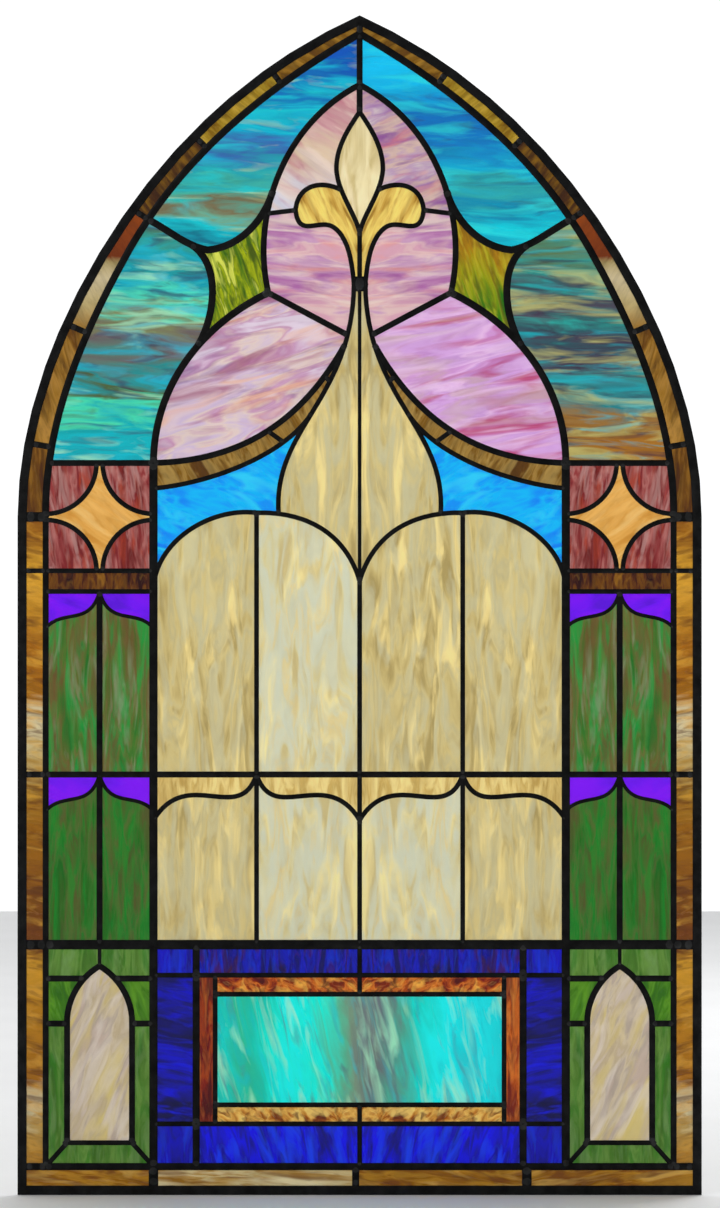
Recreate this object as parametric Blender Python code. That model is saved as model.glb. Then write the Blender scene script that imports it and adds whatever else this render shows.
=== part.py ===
"""Leaded stained glass window with a pointed head, made to be built into an opening.

Metres, +Z up. The panel stands in the XZ plane with its face towards -Y. The origin is
the middle of the sill edge, on the underside of the perimeter came.
"""
from collections import namedtuple
from math import cos, pi, radians, sin

import bmesh
import bpy
from mathutils import Vector
from mathutils.geometry import delaunay_2d_cdt, intersect_point_tri_2d

# Outside width, and the perimeter came that wraps the edge of the glass
WIDTH = 0.9144
EDGE_FACE = 0.0120
EDGE_LEAF = 0.0016
EDGE_BITE = 0.0080

# Glass, and the leaves of the lead cames on its two faces
GLASS = 0.0030
CLEARANCE = 0.0003
SLOT_END = 0.0001
LEAF = 0.0012

# Faces of the cames, from a 3/16 inch to a 1/2 inch lead
FINE = 0.0048
LIGHT = 0.00635
MEDIUM = 0.0080
BROAD = 0.0095
COLUMN_FACE = 0.0110
HEAVY = 0.0127

# Upright bands, from the middle of one came to the middle of the next
BORDER_BAND = 0.0255
COLUMN_BAND = 0.1441
BLUE_BAND = 0.0571
ORANGE_BAND = 0.0254

# Rows of the lower part, from the foot of the border upwards
BASE_RISE = 0.2967
CELL_RISE = 0.2274
TALL_CELL_RISE = 0.2446
LINTEL_RISE = 0.0277
BLUE_TOP = 0.0409
OGEE_DROP = 0.0487
BASE_OGEE_DROP = 0.0609

# Pointed head: from the springing line to the point of the opening
HEAD_RISE = 0.6570
SASH_BAND = 0.0340
KNOT_FACE = 0.0200

# Round-headed lights, the stars and the lancets
CROWN_RISE = 0.0055
OUTER_ARCH_DROP = 0.1032
INNER_ARCH_DROP = 0.0912
STAR_RADIUS = 0.0680
LANCET_HALF = 0.0434
LANCET_LIFT = 0.0319
LANCET_DROP = 0.0286
LANCET_POINT = 0.0710
SHOULDER_DROP = 0.0453
SHOULDER_RISE = 0.0602

# Joints of the border's foot strip that stand off the columns
FOOT_JOINT_LEFT = -0.0053
FOOT_JOINT_RIGHT = 0.2235

# How far a flattened curve may stray from the true one, and what counts as one point
FLAT = 0.0016
EDGE_FLAT = 0.0012
CURVE_STEPS = 32
TOUCH = 0.00001
CRUMB = 0.0003
FLUSH = radians(0.5)

# Plain colours and finish of the lead and the glass
LEAD = (0.035, 0.036, 0.038)
AMBER = (0.36, 0.17, 0.03)
SKY = (0.01, 0.32, 0.52)
LEAF_GREEN = (0.20, 0.26, 0.02)
ROSE = (0.66, 0.48, 0.60)
CREAM = (0.61, 0.50, 0.25)
HONEY = (0.53, 0.33, 0.07)
AZURE = (0.0, 0.33, 0.90)
STAR_GOLD = (0.76, 0.42, 0.11)
ROSE_RED = (0.37, 0.08, 0.07)
UMBER = (0.22, 0.12, 0.02)
VIOLET = (0.17, 0.0, 0.90)
GREEN = (0.07, 0.22, 0.04)
PEARL = (0.58, 0.50, 0.48)
ULTRAMARINE = (0.0, 0.005, 0.60)
RUST = (0.55, 0.10, 0.01)
TURQUOISE = (0.0, 0.78, 0.68)
LEAD_ROUGHNESS = 0.5
LEAD_METALLIC = 0.6
GLASS_ROUGHNESS = 0.25
GLASS_ALPHA = 0.85

CHANNEL = GLASS + 2 * CLEARANCE
CAME_DEPTH = CHANNEL + 2 * LEAF
EDGE_DEPTH = CHANNEL + 2 * EDGE_LEAF

OPENING_X = WIDTH / 2 - EDGE_FACE
BORDER_X = OPENING_X - BORDER_BAND
COLUMN_X = BORDER_X - COLUMN_BAND
CELL_X = (BORDER_X + COLUMN_X) / 2
LIGHT_X = COLUMN_X / 2
BLUE_X = COLUMN_X - BLUE_BAND
ORANGE_X = BLUE_X - ORANGE_BAND

FOOT_Z = EDGE_FACE + BORDER_BAND
PLINTH_Z = FOOT_Z + BASE_RISE
MID_Z = PLINTH_Z + CELL_RISE
LINTEL_Z = MID_Z + TALL_CELL_RISE
STAR_FOOT_Z = LINTEL_Z + LINTEL_RISE
SPRING_Z = STAR_FOOT_Z + COLUMN_BAND / 2
STAR_TOP_Z = STAR_FOOT_Z + COLUMN_BAND
CROWN_Z = SPRING_Z + CROWN_RISE
MEET_Z = CROWN_Z - INNER_ARCH_DROP
BASE_OGEE_Z = MID_Z - BASE_OGEE_DROP
BLUE_TOP_Z = PLINTH_Z - BLUE_TOP
ORANGE_TOP_Z = BLUE_TOP_Z - ORANGE_BAND
BLUE_FOOT_Z = FOOT_Z + BLUE_BAND
ORANGE_FOOT_Z = BLUE_FOOT_Z + ORANGE_BAND
LANCET_FOOT_Z = FOOT_Z + LANCET_LIFT
LANCET_TOP_Z = PLINTH_Z - LANCET_DROP
LANCET_SPRING_Z = LANCET_TOP_Z - LANCET_POINT
SHOULDER_TOP_Z = PLINTH_Z - SHOULDER_DROP
SHOULDER_FOOT_Z = SHOULDER_TOP_Z - SHOULDER_RISE

Came = namedtuple("Came", "line face seam")
Drawing = namedtuple("Drawing", "places triangles open seams")


# Lines of the drawing

def head(across, up):
    """Point of the pointed head, as shares of its half width and of its rise."""
    return Vector((across * BORDER_X, SPRING_Z + up * HEAD_RISE))


def curve(start, end, leave, arrive):
    """Smooth line between two points. Its handles are shares of the straight way between
    them: how far along it, and how far to its left."""
    start, end = Vector(start), Vector(end)
    along = end - start
    left = Vector((-along.y, along.x))
    first = start + along * leave[0] + left * leave[1]
    second = start + along * arrive[0] + left * arrive[1]
    line = []
    for step in range(CURVE_STEPS + 1):
        t = step / CURVE_STEPS
        s = 1 - t
        line.append(start * s**3 + first * 3 * s * s * t + second * 3 * s * t * t + end * t**3)
    return line


def arc(centre, radius, start_degrees, end_degrees):
    """Round line about a centre."""
    line = []
    for step in range(CURVE_STEPS + 1):
        turn = radians(start_degrees + (end_degrees - start_degrees) * step / CURVE_STEPS)
        line.append(Vector(centre) + Vector((cos(turn), sin(turn))) * radius)
    return line


def straight(*points):
    return [Vector(point) for point in points]


def mirrored(line, axis=0.0):
    """The line seen in an upright mirror."""
    return [Vector((2 * axis - point.x, point.y)) for point in line]


def across_middle(line):
    """A line that ends on the middle, carried on to its mirror image."""
    return line + mirrored(line)[-2::-1]


def at_height(line, z):
    """Point where a line passes a height."""
    for near, far in zip(line, line[1:]):
        if min(near.y, far.y) <= z <= max(near.y, far.y) and near.y != far.y:
            return near.lerp(far, (z - near.y) / (far.y - near.y))
    return line[-1].copy()


def bridge(first, second, shares):
    """Straight line between two lines, from a height on each. Heights are shares of the rise."""
    return [at_height(line, head(0, share).y) for line, share in zip((first, second), shares)]


def along(line, share):
    """Point at a share of a line's length."""
    lengths = [(far - near).length for near, far in zip(line, line[1:])]
    left = share * sum(lengths)
    for length, near, far in zip(lengths, line, line[1:]):
        if left <= length:
            return near.lerp(far, left / length)
        left -= length
    return line[-1].copy()


def outward(line, point):
    """Direction square to a line at a point, away from the middle of the panel."""
    near, far = min(zip(line, line[1:]), key=lambda pair: ((pair[0] + pair[1]) / 2 - point).length)
    way = (far - near).normalized()
    square = Vector((way.y, -way.x))
    return square if square.dot(point - Vector((0, SPRING_Z))) > 0 else -square


# Border: an inner came, and short cames that part its strip of glass

WAIST_SHARE = 0.543
OPENING_WAIST_SHARE = 0.745
ARCH_WAIST = head(0.734, WAIST_SHARE)
ARCH_TOP = head(0, 0.983)
ARCH = curve((BORDER_X, SPRING_Z), ARCH_WAIST, (0.323, -0.106), (0.673, -0.069))
ARCH += curve(ARCH_WAIST, ARCH_TOP, (0.329, -0.102), (0.669, -0.078))[1:]
CUSP_SHARE = 0.605
ARCH_JOINT_SHARES = (0.142, 0.374, CUSP_SHARE, 0.750, 0.880)


def opening_outline():
    """Outline that the perimeter came leaves open."""
    waist = Vector((OPENING_WAIST_SHARE * OPENING_X, head(0, WAIST_SHARE).y))
    side = curve((OPENING_X, SPRING_Z), waist, (0.324, -0.102), (0.674, -0.081))
    side += curve(waist, (0, SPRING_Z + HEAD_RISE), (0.328, -0.095), (0.673, -0.105))[1:]
    foot = straight((-OPENING_X, EDGE_FACE), (OPENING_X, EDGE_FACE))
    return foot + across_middle(thinned(side, EDGE_FLAT, []))


def border_cames():
    cames = [Came(across_middle(ARCH), BROAD, False)]
    cames.append(Came(straight(ARCH_TOP, (0, SPRING_Z + HEAD_RISE)), MEDIUM, True))
    for side in (-1, 1):
        inner = side * BORDER_X
        cames.append(Came(straight((inner, FOOT_Z), (inner, SPRING_Z)), MEDIUM, False))
        stubs = [(FOOT_Z, BROAD), (PLINTH_Z, HEAVY), (MID_Z, MEDIUM)]
        stubs += [(STAR_FOOT_Z, LIGHT), (SPRING_Z, HEAVY)]
        for z, face in stubs:
            cames.append(Came(straight((inner, z), (side * (OPENING_X + EDGE_BITE), z)), face, True))
    for share in ARCH_JOINT_SHARES:
        start = at_height(ARCH, head(0, share).y)
        joint = [start, start + outward(ARCH, start) * (BORDER_BAND + EDGE_BITE)]
        cames.append(Came(joint, MEDIUM, True))
        cames.append(Came(mirrored(joint), MEDIUM, True))
    for x, face in ((-COLUMN_X, HEAVY), (FOOT_JOINT_LEFT, BROAD), (FOOT_JOINT_RIGHT, HEAVY)):
        cames.append(Came(straight((x, FOOT_Z), (x, EDGE_FACE - EDGE_BITE)), face, True))
    return cames


def grid_cames():
    """Bars and uprights of the lower part."""
    cames = []
    for z, face in ((FOOT_Z, BROAD), (PLINTH_Z, HEAVY), (MID_Z, MEDIUM)):
        cames.append(Came(straight((-BORDER_X, z), (BORDER_X, z)), face, False))
    for side in (-1, 1):
        for z, face in ((LINTEL_Z, LIGHT), (STAR_FOOT_Z, LIGHT), (STAR_TOP_Z, MEDIUM)):
            inner = straight((side * COLUMN_X, z), (side * BORDER_X, z))
            if z > SPRING_Z:
                inner[1] = Vector((side * at_height(ARCH, z).x, z))
            cames.append(Came(inner, face, False))
        column = straight((side * COLUMN_X, FOOT_Z), (side * COLUMN_X, STAR_TOP_Z))
        cames.append(Came(column, COLUMN_FACE, False))
        light = side * LIGHT_X
        cames.append(Came(straight((light, PLINTH_Z), (light, MID_Z)), LIGHT, True))
        cames.append(Came(straight((light, MID_Z), (light, CROWN_Z)), LIGHT, True))
        cell = straight((side * CELL_X, PLINTH_Z), (side * CELL_X, LINTEL_Z - LIGHT))
        cames.append(Came(cell, MEDIUM, True))
    return cames


# Pointed head: points of its lines, and the heights where one line leaves another, as
# shares of the rise

OGIVE_TOP = head(0, 0.879)
KNEE = head(0.291, 0.456)
CUSP_LOW = head(0.484, 0.543)
BUD_TIP = head(0, 0.824)
BUD_SIDE = head(0.074, 0.706)
BUD_FOOT = head(0, 0.580)
PETAL_SIDE = head(0.204, 0.624)
PETAL_FOOT = head(0.080, 0.588)
KNOT_SIDE = head(0.018, 0.474)
OGIVE_CUSP_SHARE = 0.663
OGIVE_LINK_SHARE = 0.617
BUD_PETAL_SHARE = 0.665
SHOULDER_FIN_SHARE = 0.347
SIDE_DIVIDER_SHARE = 0.370
SIDE_UPPER_SHARE = 0.350
SIDE_LOWER_SHARE = 0.211
SASH_JOINT_SHARES = (0.175, 0.152)
SASH_TIP_SHARES = (0.287, 0.275)

# Shares of a line's length: where the fin leaves the cusp, and where the teardrop's side
# meets the round head of the lights
CUSP_FIN_SHARE = 0.74
ARCH_SIDE_SHARE = 0.165


def head_cames():
    ogive = curve(OGIVE_TOP, KNEE, (0.285, 0.233), (0.710, 0.214))
    cusp = curve(at_height(ARCH, head(0, CUSP_SHARE).y), CUSP_LOW, (0.332, -0.004), (0.673, 0.097))
    cusp_end = at_height(ogive, head(0, OGIVE_CUSP_SHARE).y)
    cusp_tail = curve(CUSP_LOW, cusp_end, (0.291, 0.222), (0.701, 0.183))
    shoulder = curve(KNEE, (COLUMN_X, STAR_TOP_Z), (0.315, 0.183), (0.690, 0.208))
    fin_foot = at_height(shoulder, head(0, SHOULDER_FIN_SHARE).y)
    fin = curve(along(cusp, CUSP_FIN_SHARE), fin_foot, (0.218, -0.298), (0.744, -0.182))

    inner_arch, outer_arch = light_arches()
    side_end = along(inner_arch, ARCH_SIDE_SHARE)
    side = curve(KNOT_SIDE, side_end, (0.462, -0.145), (0.667, 0.136))
    upper_start = at_height(side, head(0, SIDE_UPPER_SHARE).y)
    upper = curve(upper_start, (COLUMN_X, STAR_TOP_Z), (0.341, -0.188), (0.658, -0.200))
    lower_start = at_height(side, head(0, SIDE_LOWER_SHARE).y)
    lower_end = (COLUMN_X, STAR_TOP_Z - SASH_BAND)
    lower = curve(lower_start, lower_end, (0.259, -0.161), (0.730, -0.102))
    divider = [KNEE, at_height(side, head(0, SIDE_DIVIDER_SHARE).y)]
    sash_joint = bridge(upper, lower, SASH_JOINT_SHARES)
    sash_tip = bridge(upper, side, SASH_TIP_SHARES)

    bud = curve(BUD_TIP, BUD_SIDE, (0.321, 0.074), (0.684, 0.137))
    bud += curve(BUD_SIDE, BUD_FOOT, (0.326, 0.096), (0.667, -0.025))[1:]
    petal = curve(at_height(bud, head(0, BUD_PETAL_SHARE).y), PETAL_SIDE, (0.285, 0.358), (0.763, 0.446))
    petal += curve(PETAL_SIDE, PETAL_FOOT, (0.351, 0.603), (0.588, -0.096))[1:]
    petal += curve(PETAL_FOOT, KNOT_SIDE, (0.265, -0.178), (0.702, -0.072))[1:]
    link = [at_height(ogive, head(0, OGIVE_LINK_SHARE).y), PETAL_SIDE]

    right = [Came(shoulder, BROAD, False), Came(cusp + cusp_tail[1:], BROAD, False)]
    right += [Came(fin, BROAD, False), Came(divider, MEDIUM, False), Came(link, LIGHT, False)]
    right += [Came(petal + side[1:], LIGHT, False), Came(upper, MEDIUM, False), Came(lower, LIGHT, False)]
    right += [Came(sash_joint, LIGHT, True), Came(sash_tip, LIGHT, True)]
    right += [Came(inner_arch, LIGHT, False), Came(outer_arch, LIGHT, False)]
    cames = right + [Came(mirrored(came.line), came.face, came.seam) for came in right]
    cames.append(Came(across_middle(ogive[::-1]), MEDIUM, False))
    cames.append(Came(across_middle(bud[::-1]), LIGHT, False))
    cames.append(Came([KNOT_SIDE, mirrored([KNOT_SIDE])[0]], KNOT_FACE, False))
    return cames


def light_arches():
    """Round head over a pair of lights: from its crown to the middle, and to the column."""
    crown = (LIGHT_X, CROWN_Z)
    inner = curve(crown, (0, MEET_Z), (0.319, -0.223), (0.683, -0.267))
    foot = (COLUMN_X, CROWN_Z - OUTER_ARCH_DROP)
    outer = curve(crown, foot, (0.261, 0.252), (0.767, 0.296))
    return inner, outer


def middle_cames():
    """Cames on the middle line of the panel, from the point down."""
    knot = Vector((0, KNOT_SIDE.y))
    stretches = [(ARCH_TOP, OGIVE_TOP, MEDIUM, False), (OGIVE_TOP, BUD_TIP, MEDIUM, True)]
    stretches += [(BUD_FOOT, knot, LIGHT, False), (knot, (0, MEET_Z), FINE, True)]
    stretches += [((0, MEET_Z), (0, MID_Z), LIGHT, False), ((0, MID_Z), (0, BASE_OGEE_Z), LIGHT, True)]
    stretches += [((0, BASE_OGEE_Z), (0, PLINTH_Z), LIGHT, False)]
    stretches += [((0, PLINTH_Z), (0, ORANGE_TOP_Z), LIGHT, True)]
    stretches += [((0, ORANGE_FOOT_Z), (0, FOOT_Z), LIGHT, True)]
    return [Came(straight(top, foot), face, seam) for top, foot, face, seam in stretches]


# Star squares, ogee rows, lancets and the framed panel

def star_cames(middle):
    """Four quarter rings in the corners of a square leave a four-pointed star."""
    cames = []
    half = COLUMN_BAND / 2
    for corner, (side, up) in enumerate(((-1, -1), (1, -1), (1, 1), (-1, 1))):
        centre = (middle + side * half, SPRING_Z + up * half)
        ring = arc(centre, STAR_RADIUS, corner * 90, corner * 90 + 90)
        cames.append(Came(ring, LIGHT, False))
    return cames


def ogee_cames(middle, top_z):
    """Two ogees that fall from the head of a cell to its sides."""
    foot = (middle + COLUMN_BAND / 2, top_z - OGEE_DROP)
    side = curve((middle, top_z), foot, (0.43, -0.37), (0.60, 0.10))
    return [Came(side, FINE, False), Came(mirrored(side, middle), FINE, False)]


def base_ogee_cames(side):
    """Ogees over the short lights, from the light's came to the column and to the middle."""
    outer = curve((LIGHT_X, MID_Z), (COLUMN_X, BASE_OGEE_Z), (0.326, -0.361), (0.527, 0.328))
    lines = [outer, mirrored(outer, LIGHT_X)]
    if side < 0:
        lines = [mirrored(line) for line in lines]
    return [Came(line, LIGHT, False) for line in lines]


def lancet_cames(middle):
    """Pointed light with the cames that part the glass around it."""
    edge = COLUMN_BAND / 2
    spring = (middle + LANCET_HALF, LANCET_SPRING_Z)
    top = Vector((middle, LANCET_TOP_Z))
    head_side = curve(spring, top, (0.305, -0.168), (0.696, -0.167))
    side = straight((middle + LANCET_HALF, LANCET_FOOT_Z)) + head_side
    outline = side + mirrored(side, middle)[-2::-1]
    reach = LANCET_HALF + MEDIUM / 2
    foot = straight((middle - reach, LANCET_FOOT_Z), (middle + reach, LANCET_FOOT_Z))
    cames = [Came(outline, MEDIUM, False), Came(foot, LIGHT, False)]
    cames.append(Came(straight(top, (middle, PLINTH_Z)), FINE, True))
    bars = [[at_height(head_side, SHOULDER_TOP_Z), Vector((middle + edge, SHOULDER_TOP_Z))]]
    bars.append(straight((middle + LANCET_HALF, SHOULDER_FOOT_Z), (middle + edge, SHOULDER_FOOT_Z)))
    mitre = straight((middle + LANCET_HALF, LANCET_FOOT_Z), (middle + edge, FOOT_Z))
    for line, face in ((bars[0], MEDIUM), (bars[1], MEDIUM), (mitre, LIGHT)):
        cames.append(Came(line, face, True))
        cames.append(Came(mirrored(line, middle), face, True))
    return cames


def framed_panel_cames():
    """Blue and orange frames around the turquoise light."""
    cames = []
    rings = ((BLUE_X, BLUE_FOOT_Z, BLUE_TOP_Z, BROAD), (ORANGE_X, ORANGE_FOOT_Z, ORANGE_TOP_Z, LIGHT))
    for x, foot, top, face in rings:
        for side in (-1, 1):
            cames.append(Came(straight((side * x, foot), (side * x, top)), face, False))
        cames.append(Came(straight((-x, foot), (x, foot)), LIGHT, False))
        cames.append(Came(straight((-x, top), (x, top)), LIGHT, False))
    for side in (-1, 1):
        for z in (BLUE_FOOT_Z, BLUE_TOP_Z):
            cames.append(Came(straight((side * BLUE_X, z), (side * COLUMN_X, z)), LIGHT, True))
        upright = side * BLUE_X
        cames.append(Came(straight((upright, FOOT_Z), (upright, BLUE_FOOT_Z)), BROAD, True))
        cames.append(Came(straight((upright, BLUE_TOP_Z), (upright, PLINTH_Z)), BROAD, True))
        upright = side * ORANGE_X
        cames.append(Came(straight((upright, BLUE_FOOT_Z), (upright, ORANGE_FOOT_Z)), LIGHT, True))
        cames.append(Came(straight((upright, ORANGE_TOP_Z), (upright, BLUE_TOP_Z)), LIGHT, True))
    return cames


def cartoon():
    """All the cames of the panel. A seam came parts glass that one solid stands for."""
    cames = border_cames() + grid_cames() + head_cames() + middle_cames() + framed_panel_cames()
    for side in (-1, 1):
        middle = side * CELL_X
        cames += star_cames(middle) + lancet_cames(middle) + base_ogee_cames(side)
        cames += ogee_cames(middle, LINTEL_Z) + ogee_cames(middle, MID_Z)
    return cames


# Regions between the cames

def distance_to(point, near, far):
    way = far - near
    share = (point - near).dot(way) / max(way.length_squared, TOUCH**2)
    return (near + way * max(0.0, min(1.0, share)) - point).length


def thinned(line, stray, pins):
    """The line with only the points that keep it within a distance of itself."""
    if len(line) < 3:
        return line
    worst = max(range(1, len(line) - 1), key=lambda i: distance_to(line[i], line[0], line[-1]))
    pinned = [i for i in range(1, len(line) - 1) if any((line[i] - pin).length < TOUCH for pin in pins)]
    if pinned:
        worst = pinned[0]
    elif distance_to(line[worst], line[0], line[-1]) <= stray:
        return [line[0], line[-1]]
    return thinned(line[:worst + 1], stray, pins)[:-1] + thinned(line[worst:], stray, pins)


def pinned_line(line, ends):
    """The line with a point wherever the end of another came meets it."""
    points = [line[0]]
    for near, far in zip(line, line[1:]):
        meets = [end for end in ends if distance_to(end, near, far) < TOUCH]
        for end in sorted(meets, key=lambda end: (end - near).length) + [far]:
            if (end - points[-1]).length > TOUCH:
                points.append(end)
    return points


def flattened(cames, stray):
    """The cames with their curves as few straight runs, which still meet where they met."""
    ends = [end for came in cames for end in (came.line[0], came.line[-1])]
    flat = []
    for came in cames:
        line = thinned(pinned_line(came.line, ends), stray, ends)
        flat.append(Came(line, came.face, came.seam))
    return flat


def offset(line, distance, closed=False):
    """The line moved to its right, mitred at its bends."""
    count = len(line)
    moved = []
    for i, point in enumerate(line):
        near = line[i - 1] if closed or i > 0 else None
        far = line[(i + 1) % count] if closed or i < count - 1 else None
        ways = [(point - near).normalized()] if near is not None else []
        ways += [(far - point).normalized()] if far is not None else []
        squares = [Vector((way.y, -way.x)) for way in ways]
        middle = sum(squares, Vector((0, 0))).normalized()
        moved.append(point + middle * (distance / middle.dot(squares[0])))
    return moved


def lengthened(line, distance):
    """The line carried on straight at both ends."""
    first = line[0] + (line[0] - line[1]).normalized() * distance
    last = line[-1] + (line[-1] - line[-2]).normalized() * distance
    return [first] + line[1:-1] + [last]


def drawn(limit, cames, spare=0.0, seam_spare=0.0):
    """Triangles inside an outline, with the cames laid over them as strips: open ones, ones
    under a seam came alone, and ones under any other came. Spare is added all round a came."""
    points = list(limit)
    faces = [list(range(len(limit)))]
    walls = set()
    for came in cames:
        first = len(points)
        count = len(came.line)
        room = seam_spare if came.seam else spare
        line = lengthened(came.line, room)
        half = came.face / 2 + room
        points += offset(line, half) + offset(line, -half)
        for i in range(first, first + count - 1):
            if not came.seam:
                walls.add(len(faces))
            corners = [i, i + 1, i + 1 + count, i + count]
            area = sum(points[a].cross(points[b]) for a, b in edges_of(corners))
            faces.append(corners if area > 0 else corners[::-1])
    found = delaunay_2d_cdt(points, [], faces, 0, TOUCH / 10)
    owners = [set(owner) for owner in found[5]]
    inside = {i for i, owner in enumerate(owners) if 0 in owner}
    lead = {i for i in inside if owners[i] & walls}
    seams = {i for i in inside - lead if len(owners[i]) > 1}
    return Drawing(found[0], found[2], inside - lead - seams, seams)


def edges_of(corners):
    return list(zip(corners, corners[1:] + corners[:1]))


def joined(group, triangles):
    """The group of triangles, parted into ones that share edges."""
    loose = set(group)
    beside = {}
    for i in loose:
        for edge in edges_of(triangles[i]):
            beside.setdefault(frozenset(edge), []).append(i)
    parted = []
    while loose:
        waiting = [loose.pop()]
        together = []
        while waiting:
            i = waiting.pop()
            together.append(i)
            for edge in edges_of(triangles[i]):
                for other in beside[frozenset(edge)]:
                    if other in loose:
                        loose.remove(other)
                        waiting.append(other)
        parted.append(sorted(together))
    return parted


def loops_around(group, drawing):
    """Outlines of a group of triangles."""
    onward = {}
    for i in group:
        for a, b in edges_of(drawing.triangles[i]):
            onward.setdefault(a, set()).add(b)
    rim = {a: [b for b in ends if a not in onward.get(b, ())] for a, ends in onward.items()}
    loops = []
    for start in sorted(rim):
        while rim[start]:
            loop = [start]
            here = rim[start].pop()
            while here != start:
                loop.append(here)
                here = rim[here].pop()
            loops.append(cleaned([drawing.places[corner] for corner in loop]))
    return loops


def cleaned(loop):
    """The loop without crumbs: corners on a straight run, or on top of the next one."""
    kept = list(loop)
    i = 0
    while i < len(kept) and len(kept) > 3:
        near, here, far = kept[i - 1], kept[i], kept[(i + 1) % len(kept)]
        if (here - near).length < CRUMB or distance_to(here, near, far) < CRUMB / 4:
            kept.pop(i)
            i = max(0, i - 1)
        else:
            i += 1
    return kept


# Solids

def fresh_scene():
    for old in list(bpy.data.objects):
        bpy.data.objects.remove(old, do_unlink=True)
    window = bpy.data.collections.new("stained_glass_window")
    cutters = bpy.data.collections.new("cutters")
    for collection in (window, cutters):
        bpy.context.scene.collection.children.link(collection)
    return window, cutters


def finish(name, colour, roughness, metallic=0.0, alpha=1.0):
    """Principled material of one piece."""
    material = bpy.data.materials.new(name)
    material.use_nodes = True
    shader = material.node_tree.nodes["Principled BSDF"]
    shader.inputs["Base Color"].default_value = (*colour, 1.0)
    shader.inputs["Roughness"].default_value = roughness
    shader.inputs["Metallic"].default_value = metallic
    shader.inputs["Alpha"].default_value = alpha
    return material


def sheet(name, loops, thickness, collection):
    """Flat piece standing in the XZ plane, centred on it, with any holes its loops give."""
    outline = bpy.data.curves.new(name, "CURVE")
    outline.dimensions = "2D"
    outline.fill_mode = "BOTH"
    outline.extrude = thickness / 2
    for loop in loops:
        spline = outline.splines.new("POLY")
        spline.points.add(len(loop) - 1)
        spline.use_cyclic_u = True
        for corner, point in zip(spline.points, loop):
            corner.co = (point.x, point.y, 0, 1)
    piece = bpy.data.objects.new(name, outline)
    piece.rotation_euler.x = pi / 2
    collection.objects.link(piece)
    return piece


def as_mesh(piece, collection):
    """The piece as a welded mesh with whole faces, so that it can be cut."""
    bpy.context.view_layer.update()
    evaluated = piece.evaluated_get(bpy.context.evaluated_depsgraph_get())
    mesh = bpy.data.meshes.new_from_object(evaluated)
    mesh.name = piece.name
    shell = bmesh.new()
    shell.from_mesh(mesh)
    bmesh.ops.remove_doubles(shell, verts=shell.verts, dist=TOUCH)
    bmesh.ops.dissolve_limit(shell, angle_limit=FLUSH, verts=shell.verts, edges=shell.edges)
    bmesh.ops.recalc_face_normals(shell, faces=shell.faces)
    shell.to_mesh(mesh)
    shell.free()
    name, place = piece.name, piece.matrix_world.copy()
    bpy.data.objects.remove(piece, do_unlink=True)
    solid = bpy.data.objects.new(name, mesh)
    solid.matrix_world = place
    collection.objects.link(solid)
    return solid


def cut(solid, cutter):
    cutter.hide_render = True
    cutter.display_type = "WIRE"
    groove = solid.modifiers.new("groove", "BOOLEAN")
    groove.operation = "DIFFERENCE"
    groove.solver = "EXACT"
    groove.object = cutter


def build_perimeter(opening, window, cutters):
    """U-shaped came around the edge, its channel open towards the glass."""
    rim = offset(opening, EDGE_FACE, closed=True)
    ring = as_mesh(sheet("perimeter_came", [rim, opening], EDGE_DEPTH, window), window)
    reach = offset(opening, EDGE_BITE + CLEARANCE, closed=True)
    channel = as_mesh(sheet("perimeter_channel", [reach], CHANNEL, cutters), cutters)
    cut(ring, channel)
    ring.data.materials.append(finish("perimeter_came", LEAD, LEAD_ROUGHNESS, LEAD_METALLIC))


def build_leads(opening, cames, window, cutters):
    """All the cames soldered into one net: a plate cut through wherever daylight shows. The
    glass runs on through a slot in each seam."""
    plate = sheet("lead_cames", [offset(opening, -CLEARANCE, closed=True)], CAME_DEPTH, window)
    net = as_mesh(plate, window)
    beyond = offset(opening, CLEARANCE, closed=True)
    drawing = drawn(beyond, cames)
    daylight = sheet("daylight", loops_around(drawing.open, drawing), 2 * CAME_DEPTH, cutters)
    cut(net, as_mesh(daylight, cutters))
    drawing = drawn(beyond, cames, SLOT_END, CLEARANCE)
    slots = sheet("seam_slots", loops_around(drawing.seams, drawing), CHANNEL, cutters)
    cut(net, as_mesh(slots, cutters))
    net.data.materials.append(finish("lead_cames", LEAD, LEAD_ROUGHNESS, LEAD_METALLIC))


def build_glass(opening, cames, window):
    """Panes between the cames, out to the depth of the perimeter's channel."""
    walls = [came for came in cames if not came.seam]
    drawing = drawn(offset(opening, EDGE_BITE, closed=True), walls, CLEARANCE)
    groups = joined(drawing.open, drawing.triangles)
    for name, (point, colour) in PANES.items():
        pane = sheet(name, loops_around(group_at(groups, drawing, point), drawing), GLASS, window)
        pane.data.materials.append(finish(name, colour, GLASS_ROUGHNESS, alpha=GLASS_ALPHA))


def group_at(groups, drawing, point):
    """The group of triangles that holds a point."""
    for group in groups:
        for i in group:
            if intersect_point_tri_2d(point, *(drawing.places[k] for k in drawing.triangles[i])):
                return group
    raise ValueError(f"no glass at {tuple(point)}")


# Panes: a point inside each, and its colour

# How far a corner pane's point is from the middle of its cell, as a share of the column
CORNER_SHARE = 0.38


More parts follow.
